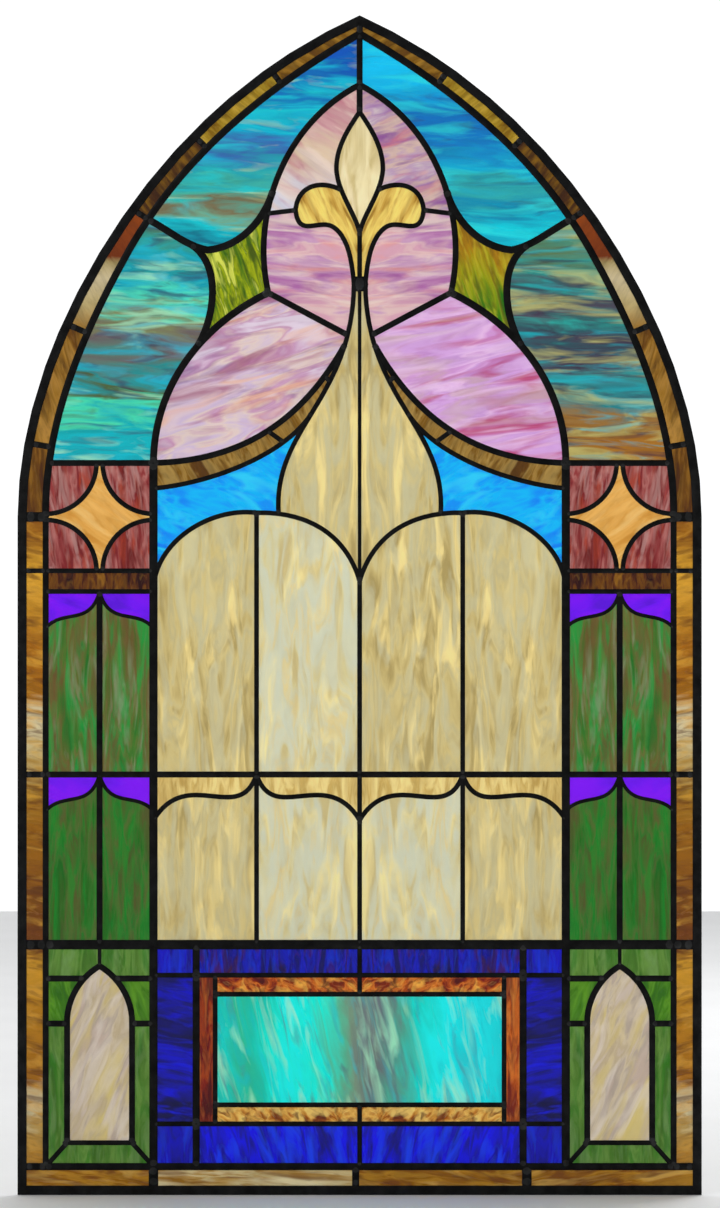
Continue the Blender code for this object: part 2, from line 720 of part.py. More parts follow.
def side_panes(side, tail):
    """Panes of one half of the panel."""
    def at(x, z):
        return Vector((side * x, z))

    def in_head(across, up):
        point = head(across, up)
        return Vector((side * point.x, point.y))

    panes = {
        "sky_upper": (in_head(0.45, 0.70), SKY),
        "sky_lower": (in_head(0.75, 0.35), SKY),
        "leaf": (in_head(0.38, 0.47), LEAF_GREEN),
        "rose_middle": (in_head(0.167, 0.524), ROSE),
        "rose_lower": (in_head(0.357, 0.265), ROSE),
        "fleur_petal": (in_head(0.131, 0.627), HONEY),
        "sash": (in_head(0.405, 0.116), HONEY),
        "azure": (at(0.72 * COLUMN_X, CROWN_Z + 0.02), AZURE),
        "cream_arch": (at(LIGHT_X / 2, (MID_Z + LINTEL_Z) / 2), CREAM),
        "spandrel": (at((LIGHT_X + COLUMN_X) / 2, MID_Z - BASE_OGEE_DROP / 4), HONEY),
        "cream_base": (at(LIGHT_X / 2, (PLINTH_Z + BASE_OGEE_Z) / 2), CREAM),
        "star": (at(CELL_X, SPRING_Z), STAR_GOLD),
        "lintel": (at(CELL_X, LINTEL_Z + LINTEL_RISE / 2), UMBER),
        "green_upper": (at(CELL_X + COLUMN_BAND / 4, (MID_Z + LINTEL_Z) / 2), GREEN),
        "green_lower": (at(CELL_X + COLUMN_BAND / 4, (PLINTH_Z + MID_Z) / 2), GREEN),
        "lancet": (at(CELL_X, (LANCET_FOOT_Z + LANCET_SPRING_Z) / 2), PEARL),
        "lancet_surround": (at(CELL_X, (FOOT_Z + LANCET_FOOT_Z) / 2), GREEN),
    }
    corner = CORNER_SHARE * COLUMN_BAND
    for place, shift in (("inner", -1), ("outer", 1)):
        x = CELL_X + shift * corner
        panes[f"violet_upper_{place}"] = (at(x, LINTEL_Z - OGEE_DROP / 4), VIOLET)
        panes[f"violet_lower_{place}"] = (at(x, MID_Z - OGEE_DROP / 4), VIOLET)
        panes[f"star_corner_top_{place}"] = (at(x, SPRING_Z + corner), ROSE_RED)
        panes[f"star_corner_foot_{place}"] = (at(x, SPRING_Z - corner), ROSE_RED)
    return {f"{name}_{tail}": pane for name, pane in panes.items()}


def all_panes():
    panes = {
        "border_glass": (Vector((0, (EDGE_FACE + FOOT_Z) / 2)), AMBER),
        "rose_upper": (head(0.136, 0.76), ROSE),
        "fleur_bud": (head(0, 0.70), CREAM),
        "teardrop": (head(0.095, 0.067), CREAM),
        "spandrel_middle": (Vector((LIGHT_X / 2, MID_Z - BASE_OGEE_DROP / 4)), HONEY),
        "blue_frame": (Vector((0, (FOOT_Z + BLUE_FOOT_Z) / 2)), ULTRAMARINE),
        "orange_frame": (Vector((0, (BLUE_FOOT_Z + ORANGE_FOOT_Z) / 2)), RUST),
        "turquoise_light": (Vector((0, (ORANGE_FOOT_Z + ORANGE_TOP_Z) / 2)), TURQUOISE),
    }
    panes.update(side_panes(-1, "left"))
    panes.update(side_panes(1, "right"))
    return panes


PANES = all_panes()


def build():
    window, cutters = fresh_scene()
    opening = opening_outline()
    cames = flattened(cartoon(), FLAT)
    build_perimeter(opening, window, cutters)
    build_leads(opening, cames, window, cutters)
    build_glass(opening, cames, window)


build()
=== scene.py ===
"""Looks of a leaded stained glass window with a pointed head.

Metres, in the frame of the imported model: +Z up, the face towards -Y, the origin at the
middle of the sill edge. The drawing of the leads is the one that the solids follow.
"""
from collections import namedtuple
from math import cos, pi, radians, sin, sqrt

import bmesh
import bpy
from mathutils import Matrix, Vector, noise
from mathutils.geometry import delaunay_2d_cdt, intersect_line_line_2d, intersect_point_tri_2d


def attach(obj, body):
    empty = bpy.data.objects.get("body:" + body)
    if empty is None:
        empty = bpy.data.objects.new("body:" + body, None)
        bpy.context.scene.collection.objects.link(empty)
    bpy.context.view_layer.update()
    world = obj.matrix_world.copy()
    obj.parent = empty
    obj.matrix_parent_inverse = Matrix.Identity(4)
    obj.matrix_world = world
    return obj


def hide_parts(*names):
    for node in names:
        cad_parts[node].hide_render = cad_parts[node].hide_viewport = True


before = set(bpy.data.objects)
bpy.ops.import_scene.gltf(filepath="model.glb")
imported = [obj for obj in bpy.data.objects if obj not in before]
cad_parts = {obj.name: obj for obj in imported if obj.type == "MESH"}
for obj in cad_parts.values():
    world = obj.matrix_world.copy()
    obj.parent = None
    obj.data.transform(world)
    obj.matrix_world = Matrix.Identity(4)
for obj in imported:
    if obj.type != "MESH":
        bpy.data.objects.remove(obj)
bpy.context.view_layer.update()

# Outside width, and the perimeter came that wraps the edge of the glass
WIDTH = 0.9144
EDGE_FACE = 0.0120
EDGE_LEAF = 0.0016
EDGE_BITE = 0.0080

# Sheet of glass, and its play in the cames
GLASS = 0.0030
CLEARANCE = 0.0003

# Faces of the cames, from a 3/16 inch to a 1/2 inch lead
FINE = 0.0048
LIGHT = 0.00635
MEDIUM = 0.0080
BROAD = 0.0095
COLUMN_FACE = 0.0110
HEAVY = 0.0127

# Upright bands, from the middle of one came to the middle of the next
BORDER_BAND = 0.0255
COLUMN_BAND = 0.1441
BLUE_BAND = 0.0571
ORANGE_BAND = 0.0254

# Rows of the lower part, from the foot of the border upwards
BASE_RISE = 0.2967
CELL_RISE = 0.2274
TALL_CELL_RISE = 0.2446
LINTEL_RISE = 0.0277
BLUE_TOP = 0.0409
OGEE_DROP = 0.0487
BASE_OGEE_DROP = 0.0609

# Pointed head: from the springing line to the point of the opening
HEAD_RISE = 0.6570
SASH_BAND = 0.0340
KNOT_FACE = 0.0200

# Round-headed lights, the stars and the lancets
CROWN_RISE = 0.0055
OUTER_ARCH_DROP = 0.1032
INNER_ARCH_DROP = 0.0912
STAR_RADIUS = 0.0680
LANCET_HALF = 0.0434
LANCET_LIFT = 0.0319
LANCET_DROP = 0.0286
LANCET_POINT = 0.0710
SHOULDER_DROP = 0.0453
SHOULDER_RISE = 0.0602

# Joints of the border's foot strip that stand off the columns
FOOT_JOINT_LEFT = -0.0053
FOOT_JOINT_RIGHT = 0.2235

# How far a flattened line may stray from its curve: the outline, and the cames
EDGE_FLAT = 0.0012
CAME_FLAT = 0.00012
CURVE_STEPS = 32

# Points closer than this are one
TOUCH = 0.00001

CHANNEL = GLASS + 2 * CLEARANCE
EDGE_DEPTH = CHANNEL + 2 * EDGE_LEAF

OPENING_X = WIDTH / 2 - EDGE_FACE
BORDER_X = OPENING_X - BORDER_BAND
COLUMN_X = BORDER_X - COLUMN_BAND
CELL_X = (BORDER_X + COLUMN_X) / 2
LIGHT_X = COLUMN_X / 2
BLUE_X = COLUMN_X - BLUE_BAND
ORANGE_X = BLUE_X - ORANGE_BAND

FOOT_Z = EDGE_FACE + BORDER_BAND
PLINTH_Z = FOOT_Z + BASE_RISE
MID_Z = PLINTH_Z + CELL_RISE
LINTEL_Z = MID_Z + TALL_CELL_RISE
STAR_FOOT_Z = LINTEL_Z + LINTEL_RISE
SPRING_Z = STAR_FOOT_Z + COLUMN_BAND / 2
STAR_TOP_Z = STAR_FOOT_Z + COLUMN_BAND
CROWN_Z = SPRING_Z + CROWN_RISE
MEET_Z = CROWN_Z - INNER_ARCH_DROP
BASE_OGEE_Z = MID_Z - BASE_OGEE_DROP
BLUE_TOP_Z = PLINTH_Z - BLUE_TOP
ORANGE_TOP_Z = BLUE_TOP_Z - ORANGE_BAND
BLUE_FOOT_Z = FOOT_Z + BLUE_BAND
ORANGE_FOOT_Z = BLUE_FOOT_Z + ORANGE_BAND
LANCET_FOOT_Z = FOOT_Z + LANCET_LIFT
LANCET_TOP_Z = PLINTH_Z - LANCET_DROP
LANCET_SPRING_Z = LANCET_TOP_Z - LANCET_POINT
SHOULDER_TOP_Z = PLINTH_Z - SHOULDER_DROP
SHOULDER_FOOT_Z = SHOULDER_TOP_Z - SHOULDER_RISE

Came = namedtuple("Came", "line face")
Drawing = namedtuple("Drawing", "places triangles open")


# Lines of the drawing

def head(across, up):
    """Point of the pointed head, as shares of its half width and of its rise."""
    return Vector((across * BORDER_X, SPRING_Z + up * HEAD_RISE))


def curve(start, end, leave, arrive):
    """Smooth line between two points. Its handles are shares of the straight way between
    them: how far along it, and how far to its left."""
    start, end = Vector(start), Vector(end)
    along = end - start
    left = Vector((-along.y, along.x))
    first = start + along * leave[0] + left * leave[1]
    second = start + along * arrive[0] + left * arrive[1]
    line = []
    for step in range(CURVE_STEPS + 1):
        t = step / CURVE_STEPS
        s = 1 - t
        line.append(start * s**3 + first * 3 * s * s * t + second * 3 * s * t * t + end * t**3)
    return line


def arc(centre, radius, start_degrees, end_degrees):
    """Round line about a centre."""
    line = []
    for step in range(CURVE_STEPS + 1):
        turn = radians(start_degrees + (end_degrees - start_degrees) * step / CURVE_STEPS)
        line.append(Vector(centre) + Vector((cos(turn), sin(turn))) * radius)
    return line


def straight(*points):
    return [Vector(point) for point in points]


def upright(x, start, end, face):
    return Came(straight((x, start), (x, end)), face)


def level(z, start, end, face):
    return Came(straight((start, z), (end, z)), face)


def mirrored(line, axis=0.0):
    """The line seen in an upright mirror."""
    return [Vector((2 * axis - point.x, point.y)) for point in line]


def across_middle(line):
    """A line that ends on the middle, carried on to its mirror image."""
    return line + mirrored(line)[-2::-1]


def at_height(line, z):
    """Point where a line passes a height."""
    for near, far in zip(line, line[1:]):
        if min(near.y, far.y) <= z <= max(near.y, far.y) and near.y != far.y:
            return near.lerp(far, (z - near.y) / (far.y - near.y))
    return line[-1].copy()


def along(line, share):
    """Point at a share of a line's length."""
    lengths = [(far - near).length for near, far in zip(line, line[1:])]
    left = share * sum(lengths)
    for length, near, far in zip(lengths, line, line[1:]):
        if left <= length:
            return near.lerp(far, left / length)
        left -= length
    return line[-1].copy()


def bridge(first, second, shares):
    """Short line from one line to another, each met at its own share of the head's rise."""
    return [at_height(line, head(0, share).y) for line, share in zip((first, second), shares)]


def outward(line, point):
    """Direction square to a line at a point, away from the middle of the panel."""
    near, far = min(zip(line, line[1:]), key=lambda pair: ((pair[0] + pair[1]) / 2 - point).length)
    way = (far - near).normalized()
    square = Vector((way.y, -way.x))
    return square if square.dot(point - Vector((0, SPRING_Z))) > 0 else -square


# Border: an inner came, and short cames that part its strip of glass

# Heights as shares of the head's rise, and the opening's waist as a share of its half width
WAIST_SHARE = 0.543
OPENING_WAIST_SHARE = 0.745
CUSP_SHARE = 0.605
ARCH_JOINT_SHARES = (0.142, 0.374, CUSP_SHARE, 0.750, 0.880)

ARCH_WAIST = head(0.734, WAIST_SHARE)
ARCH_TOP = head(0, 0.983)
ARCH = curve((BORDER_X, SPRING_Z), ARCH_WAIST, (0.323, -0.106), (0.673, -0.069))
ARCH += curve(ARCH_WAIST, ARCH_TOP, (0.329, -0.102), (0.669, -0.078))[1:]


def opening_outline():
    """Outline that the perimeter came leaves open."""
    waist = Vector((OPENING_WAIST_SHARE * OPENING_X, ARCH_WAIST.y))
    side = curve((OPENING_X, SPRING_Z), waist, (0.324, -0.102), (0.674, -0.081))
    side += curve(waist, (0, SPRING_Z + HEAD_RISE), (0.328, -0.095), (0.673, -0.105))[1:]
    foot = straight((-OPENING_X, EDGE_FACE), (OPENING_X, EDGE_FACE))
    return foot + across_middle(thinned(side, EDGE_FLAT, []))


def border_cames():
    cames = [Came(across_middle(ARCH), BROAD)]
    cames.append(upright(0, ARCH_TOP.y, SPRING_Z + HEAD_RISE + 2 * EDGE_BITE, MEDIUM))
    stubs = [(FOOT_Z, BROAD), (PLINTH_Z, HEAVY), (MID_Z, MEDIUM)]
    stubs += [(STAR_FOOT_Z, LIGHT), (SPRING_Z, HEAVY)]
    for side in (-1, 1):
        cames.append(upright(side * BORDER_X, FOOT_Z, SPRING_Z, MEDIUM))
        for z, face in stubs:
            cames.append(level(z, side * BORDER_X, side * (OPENING_X + EDGE_BITE), face))
    for share in ARCH_JOINT_SHARES:
        start = at_height(ARCH, head(0, share).y)
        joint = [start, start + outward(ARCH, start) * (BORDER_BAND + EDGE_BITE)]
        cames += [Came(joint, MEDIUM), Came(mirrored(joint), MEDIUM)]
    for x, face in ((-COLUMN_X, HEAVY), (FOOT_JOINT_LEFT, BROAD), (FOOT_JOINT_RIGHT, HEAVY)):
        cames.append(upright(x, FOOT_Z, EDGE_FACE - EDGE_BITE, face))
    return cames


def grid_cames():
    """Bars and uprights of the lower part."""
    bars = ((FOOT_Z, BROAD), (PLINTH_Z, HEAVY), (MID_Z, MEDIUM))
    cames = [level(z, -BORDER_X, BORDER_X, face) for z, face in bars]
    for side in (-1, 1):
        for z, face in ((LINTEL_Z, LIGHT), (STAR_FOOT_Z, LIGHT), (STAR_TOP_Z, MEDIUM)):
            outer = at_height(ARCH, z).x if z > SPRING_Z else BORDER_X
            cames.append(level(z, side * COLUMN_X, side * outer, face))
        cames.append(upright(side * COLUMN_X, FOOT_Z, STAR_TOP_Z, COLUMN_FACE))
        cames.append(upright(side * LIGHT_X, PLINTH_Z, MID_Z, LIGHT))
        cames.append(upright(side * LIGHT_X, MID_Z, CROWN_Z, LIGHT))
        cames.append(upright(side * CELL_X, PLINTH_Z, LINTEL_Z, MEDIUM))
    return cames


# Pointed head: points of its lines, and the heights where one line leaves another, as
# shares of the rise

OGIVE_TOP = head(0, 0.879)
KNEE = head(0.291, 0.456)
CUSP_LOW = head(0.484, 0.543)
BUD_TIP = head(0, 0.824)
BUD_SIDE = head(0.074, 0.706)
BUD_FOOT = head(0, 0.580)
PETAL_SIDE = head(0.204, 0.624)
PETAL_FOOT = head(0.080, 0.588)
KNOT_SIDE = head(0.018, 0.474)
OGIVE_CUSP_SHARE = 0.663
OGIVE_LINK_SHARE = 0.617
BUD_PETAL_SHARE = 0.665
SHOULDER_FIN_SHARE = 0.347
SIDE_DIVIDER_SHARE = 0.370
SIDE_UPPER_SHARE = 0.350
SIDE_LOWER_SHARE = 0.211
SASH_JOINT_SHARES = (0.175, 0.152)
SASH_TIP_SHARES = (0.287, 0.275)

# Shares of a line's length: where the fin leaves the cusp, and where the teardrop's side
# meets the round head of the lights
CUSP_FIN_SHARE = 0.74
ARCH_SIDE_SHARE = 0.165


def head_cames():
    ogive = curve(OGIVE_TOP, KNEE, (0.285, 0.233), (0.710, 0.214))
    cusp = curve(at_height(ARCH, head(0, CUSP_SHARE).y), CUSP_LOW, (0.332, -0.004), (0.673, 0.097))
    cusp_end = at_height(ogive, head(0, OGIVE_CUSP_SHARE).y)
    cusp_tail = curve(CUSP_LOW, cusp_end, (0.291, 0.222), (0.701, 0.183))
    shoulder = curve(KNEE, (COLUMN_X, STAR_TOP_Z), (0.315, 0.183), (0.690, 0.208))
    fin_foot = at_height(shoulder, head(0, SHOULDER_FIN_SHARE).y)
    fin = curve(along(cusp, CUSP_FIN_SHARE), fin_foot, (0.218, -0.298), (0.744, -0.182))

    inner_arch, outer_arch = light_arches()
    side = curve(KNOT_SIDE, along(inner_arch, ARCH_SIDE_SHARE), (0.462, -0.145), (0.667, 0.136))
    upper_start = at_height(side, head(0, SIDE_UPPER_SHARE).y)
    upper = curve(upper_start, (COLUMN_X, STAR_TOP_Z), (0.341, -0.188), (0.658, -0.200))
    lower_start = at_height(side, head(0, SIDE_LOWER_SHARE).y)
    lower_end = (COLUMN_X, STAR_TOP_Z - SASH_BAND)
    lower = curve(lower_start, lower_end, (0.259, -0.161), (0.730, -0.102))
    divider = [KNEE, at_height(side, head(0, SIDE_DIVIDER_SHARE).y)]

    bud = curve(BUD_TIP, BUD_SIDE, (0.321, 0.074), (0.684, 0.137))
    bud += curve(BUD_SIDE, BUD_FOOT, (0.326, 0.096), (0.667, -0.025))[1:]
    petal_start = at_height(bud, head(0, BUD_PETAL_SHARE).y)
    petal = curve(petal_start, PETAL_SIDE, (0.285, 0.358), (0.763, 0.446))
    petal += curve(PETAL_SIDE, PETAL_FOOT, (0.351, 0.603), (0.588, -0.096))[1:]
    petal += curve(PETAL_FOOT, KNOT_SIDE, (0.265, -0.178), (0.702, -0.072))[1:]
    link = [at_height(ogive, head(0, OGIVE_LINK_SHARE).y), PETAL_SIDE]

    right = [Came(shoulder, BROAD), Came(cusp + cusp_tail[1:], BROAD), Came(fin, BROAD)]
    right += [Came(divider, MEDIUM), Came(link, LIGHT), Came(petal + side[1:], LIGHT)]
    right += [Came(upper, MEDIUM), Came(lower, LIGHT)]
    right += [Came(bridge(upper, lower, SASH_JOINT_SHARES), LIGHT)]
    right += [Came(bridge(upper, side, SASH_TIP_SHARES), LIGHT)]
    right += [Came(inner_arch, LIGHT), Came(outer_arch, LIGHT)]
    cames = right + [Came(mirrored(came.line), came.face) for came in right]
    cames += [Came(across_middle(ogive[::-1]), MEDIUM), Came(across_middle(bud[::-1]), LIGHT)]
    cames.append(level(KNOT_SIDE.y, KNOT_SIDE.x, -KNOT_SIDE.x, KNOT_FACE))
    return cames


def light_arches():
    """Round head over a pair of lights: from its crown to the middle, and to the column."""
    crown = (LIGHT_X, CROWN_Z)
    inner = curve(crown, (0, MEET_Z), (0.319, -0.223), (0.683, -0.267))
    foot = (COLUMN_X, CROWN_Z - OUTER_ARCH_DROP)
    outer = curve(crown, foot, (0.261, 0.252), (0.767, 0.296))
    return inner, outer


def middle_cames():
    """Cames on the middle line of the panel, from the point down."""
    stretches = [(ARCH_TOP.y, OGIVE_TOP.y, MEDIUM), (OGIVE_TOP.y, BUD_TIP.y, MEDIUM)]
    stretches += [(BUD_FOOT.y, KNOT_SIDE.y, LIGHT), (KNOT_SIDE.y, MEET_Z, FINE)]
    stretches += [(MEET_Z, MID_Z, LIGHT), (MID_Z, BASE_OGEE_Z, LIGHT), (BASE_OGEE_Z, PLINTH_Z, LIGHT)]
    stretches += [(PLINTH_Z, ORANGE_TOP_Z, LIGHT), (ORANGE_FOOT_Z, FOOT_Z, LIGHT)]
    return [upright(0, top, foot, face) for top, foot, face in stretches]


# Star squares, ogee rows, lancets and the framed panel

def star_cames(middle):
    """Four quarter rings in the corners of a square leave a four-pointed star."""
    cames = []
    half = COLUMN_BAND / 2
    for corner, (side, up) in enumerate(((-1, -1), (1, -1), (1, 1), (-1, 1))):
        centre = (middle + side * half, SPRING_Z + up * half)
        cames.append(Came(arc(centre, STAR_RADIUS, corner * 90, corner * 90 + 90), LIGHT))
    return cames


def ogee_cames(middle, top_z):
    """Two ogees that fall from the head of a cell to its sides."""
    foot = (middle + COLUMN_BAND / 2, top_z - OGEE_DROP)
    side = curve((middle, top_z), foot, (0.43, -0.37), (0.60, 0.10))
    return [Came(side, FINE), Came(mirrored(side, middle), FINE)]


def base_ogee_cames(side):
    """Ogees over the short lights, from the light's came to the column and to the middle."""
    outer = curve((LIGHT_X, MID_Z), (COLUMN_X, BASE_OGEE_Z), (0.326, -0.361), (0.527, 0.328))
    lines = [outer, mirrored(outer, LIGHT_X)]
    if side < 0:
        lines = [mirrored(line) for line in lines]
    return [Came(line, LIGHT) for line in lines]


def lancet_cames(middle):
    """Pointed light with the cames that part the glass around it."""
    inner, outer = middle + LANCET_HALF, middle + COLUMN_BAND / 2
    top = Vector((middle, LANCET_TOP_Z))
    head_side = curve((inner, LANCET_SPRING_Z), top, (0.305, -0.168), (0.696, -0.167))
    side = straight((inner, LANCET_FOOT_Z)) + head_side
    reach = LANCET_HALF + MEDIUM / 2
    cames = [Came(side + mirrored(side, middle)[-2::-1], MEDIUM)]
    cames.append(level(LANCET_FOOT_Z, middle - reach, middle + reach, LIGHT))
    cames.append(upright(middle, LANCET_TOP_Z, PLINTH_Z, FINE))
    shoulder = straight(at_height(head_side, SHOULDER_TOP_Z), (outer, SHOULDER_TOP_Z))
    bar = straight((inner, SHOULDER_FOOT_Z), (outer, SHOULDER_FOOT_Z))
    mitre = straight((inner, LANCET_FOOT_Z), (outer, FOOT_Z))
    for line, face in ((shoulder, MEDIUM), (bar, MEDIUM), (mitre, LIGHT)):
        cames += [Came(line, face), Came(mirrored(line, middle), face)]
    return cames


def framed_panel_cames():
    """Blue and orange frames around the turquoise light."""
    cames = []
    rings = ((BLUE_X, BLUE_FOOT_Z, BLUE_TOP_Z, BROAD), (ORANGE_X, ORANGE_FOOT_Z, ORANGE_TOP_Z, LIGHT))
    for x, foot, top, face in rings:
        cames += [upright(-x, foot, top, face), upright(x, foot, top, face)]
        cames += [level(foot, -x, x, LIGHT), level(top, -x, x, LIGHT)]
    for side in (-1, 1):
        for z in (BLUE_FOOT_Z, BLUE_TOP_Z):
            cames.append(level(z, side * BLUE_X, side * COLUMN_X, LIGHT))
        cames.append(upright(side * BLUE_X, FOOT_Z, BLUE_FOOT_Z, BROAD))
        cames.append(upright(side * BLUE_X, BLUE_TOP_Z, PLINTH_Z, BROAD))
        cames.append(upright(side * ORANGE_X, BLUE_FOOT_Z, ORANGE_FOOT_Z, LIGHT))
        cames.append(upright(side * ORANGE_X, ORANGE_TOP_Z, BLUE_TOP_Z, LIGHT))
    return cames


def cartoon():
    """All the cames of the panel, part by part."""
    columns = []
    for side in (-1, 1):
        middle = side * CELL_X
        columns += star_cames(middle) + lancet_cames(middle) + base_ogee_cames(side)
        columns += ogee_cames(middle, LINTEL_Z) + ogee_cames(middle, MID_Z)
    return {
        "border": border_cames(),
        "grid": grid_cames(),
        "head": head_cames(),
        "middle": middle_cames(),
        "panel": framed_panel_cames(),
        "columns": columns,
    }


# Regions between the cames

def distance_to(point, near, far):
    way = far - near
    share = (point - near).dot(way) / max(way.length_squared, TOUCH**2)
    return (near + way * max(0.0, min(1.0, share)) - point).length


def thinned(line, stray, pins):
    """The line with only the points that keep it within a distance of itself."""
    if len(line) < 3:
        return line
    worst = max(range(1, len(line) - 1), key=lambda i: distance_to(line[i], line[0], line[-1]))
    pinned = [i for i in range(1, len(line) - 1) if any((line[i] - pin).length < TOUCH for pin in pins)]
    if pinned:
        worst = pinned[0]
    elif distance_to(line[worst], line[0], line[-1]) <= stray:
        return [line[0], line[-1]]
    return thinned(line[:worst + 1], stray, pins)[:-1] + thinned(line[worst:], stray, pins)


def pinned_line(line, ends):
    """The line with a point wherever the end of another came meets it."""
    points = [line[0]]
    for near, far in zip(line, line[1:]):
        meets = [end for end in ends if distance_to(end, near, far) < TOUCH]
        for end in sorted(meets, key=lambda end: (end - near).length) + [far]:
            if (end - points[-1]).length > TOUCH:
                points.append(end)
    return points


def flattened(cames, stray):
    """The cames with their curves as short straight runs, which still meet where they met."""
    ends = [end for came in cames for end in (came.line[0], came.line[-1])]
    return [came._replace(line=thinned(pinned_line(came.line, ends), stray, ends)) for came in cames]


def offset(line, distance, closed=False):
    """The line moved to its right, mitred at its bends."""
    count = len(line)
    moved = []
    for i, point in enumerate(line):
        near = line[i - 1] if closed or i > 0 else None
        far = line[(i + 1) % count] if closed or i < count - 1 else None
        ways = [(point - near).normalized()] if near is not None else []
        ways += [(far - point).normalized()] if far is not None else []
        squares = [Vector((way.y, -way.x)) for way in ways]
        middle = sum(squares, Vector((0, 0))).normalized()
        moved.append(point + middle * (distance / middle.dot(squares[0])))
    return moved


def drawn(limit, cames, half, extra):
    """Triangles inside an outline, and which of them no wall along a came covers."""
    points = list(limit)
    faces = [list(range(len(limit)))]
    for came in cames:
        first = len(points)
        count = len(came.line)
        points += offset(came.line, half) + offset(came.line, -half)
        for i in range(first, first + count - 1):
            corners = [i, i + 1, i + 1 + count, i + count]
            area = sum(points[a].cross(points[b]) for a, b in edges_of(corners))
            faces.append(corners if area > 0 else corners[::-1])
    found = delaunay_2d_cdt(points + extra, [], faces, 0, TOUCH / 10)
    open_ones = {i for i, owner in enumerate(found[5]) if list(owner) == [0]}
    return Drawing(found[0], found[2], open_ones)


def edges_of(corners):
    return list(zip(corners, corners[1:] + corners[:1]))


def joined(group, triangles):
    """The group of triangles, parted into ones that share edges."""
    loose = set(group)
    beside = {}
    for i in loose:
        for edge in edges_of(triangles[i]):
            beside.setdefault(frozenset(edge), []).append(i)
    parted = []
    while loose:
        waiting = [loose.pop()]
        together = []
        while waiting:
            i = waiting.pop()
            together.append(i)
            for edge in edges_of(triangles[i]):
                for other in beside[frozenset(edge)]:
                    if other in loose:
                        loose.remove(other)
                        waiting.append(other)
        parted.append(sorted(together))
    return parted


# No triangle of the glass is taller than this
REACH = 0.30


def region_at(groups, drawing, point):
    """The group of triangles that holds a point."""
    for group in groups:
        for i in group:
            corners = [drawing.places[k] for k in drawing.triangles[i]]
            if abs(corners[0].y - point.y) < REACH and intersect_point_tri_2d(point, *corners):
                return group
    raise ValueError(f"no glass at {tuple(point)}")


# Pieces of glass: a name, a point inside, the solid that it dresses, its recipe, and
# whether its pattern is the mirror image

Piece = namedtuple("Piece", "name point node recipe flip")


def pair(name, x, z, recipe, node=None):
    """A piece and its mirror image. Each has its own solid unless one is named."""
    pieces = []
    for side, tail in ((-1, "left"), (1, "right")):
        look = recipe if recipe in RECIPES else f"{recipe}_{tail}"
        own = node or f"{name}_{tail}"
        pieces.append(Piece(f"{name}_{tail}", Vector((side * x, z)), own, look, side < 0))
    return pieces


def renamed(pieces, node):
    """The pieces, dressing the left and right solids of another name."""
    return [piece._replace(node=f"{node}_{piece.name.rsplit('_', 1)[1]}") for piece in pieces]


def border_pieces():
    pieces = []
    shares = [0.0, *ARCH_JOINT_SHARES, (ARCH_TOP.y - SPRING_Z) / HEAD_RISE]
    looks = ("umber_arch", "brown_arch", "cream_arch_strip", "olive_arch", "honey_arch", "gold_arch")
    for number, (low, high, look) in enumerate(zip(shares, shares[1:], looks), 1):
        middle = at_height(ARCH, head(0, (low + high) / 2).y)
        point = middle + outward(ARCH, middle) * BORDER_BAND / 2
        pieces += pair(f"border_arch_{number}", point.x, point.y, look, "border_glass")
    rows = (FOOT_Z, PLINTH_Z, MID_Z, STAR_FOOT_Z, SPRING_Z)
    x = (BORDER_X + OPENING_X) / 2
    for number, (low, high) in enumerate(zip(rows, rows[1:]), 1):
        pieces += pair(f"border_side_{number}", x, (low + high) / 2, "amber_side", "border_glass")
    z = (EDGE_FACE + FOOT_Z) / 2
    ends = (-OPENING_X, -COLUMN_X, FOOT_JOINT_LEFT, FOOT_JOINT_RIGHT, OPENING_X)
    looks = ("amber_foot", "amber_sill", "amber_foot", "amber_foot")
    for number, (low, high, look) in enumerate(zip(ends, ends[1:], looks), 1):
        point = Vector(((low + high) / 2, z))
        pieces.append(Piece(f"border_foot_{number}", point, "border_glass", look, low < 0))
    return pieces


# Panes of the head: a place in each as shares of the head's half width and rise, its
# recipe, and the solid where a pair shares one
HEAD_PANES = (
    ("sky_upper", 0.45, 0.70, "sky_upper", None),
    ("sky_lower", 0.75, 0.35, "sky_lower", None),
    ("leaf", 0.38, 0.47, "leaf", None),
    ("rose_middle", 0.167, 0.524, "rose_middle", None),
    ("rose_lower", 0.357, 0.265, "rose_lower", None),
    ("fleur_petal", 0.131, 0.627, "fleur_petal", None),
    ("rose_upper", 0.136, 0.76, "rose_upper", "rose_upper"),
    ("teardrop", 0.095, 0.067, "cream", "teardrop"),
)
SASH_PANES = ((0.096, 0.289), (0.196, 0.206), (0.468, 0.110))


def head_pieces():
    bud = (BUD_TIP + BUD_FOOT) / 2
    pieces = [Piece("fleur_bud", bud, "fleur_bud", "fleur_bud", False)]
    for name, across, up, look, node in HEAD_PANES:
        pieces += pair(name, *head(across, up), look, node)
    for number, place in enumerate(SASH_PANES, 1):
        pieces += renamed(pair(f"sash_{number}", *head(*place), "sash"), "sash")
    return pieces + pair("azure", COLUMN_X - BLUE_BAND, CROWN_Z, "azure")


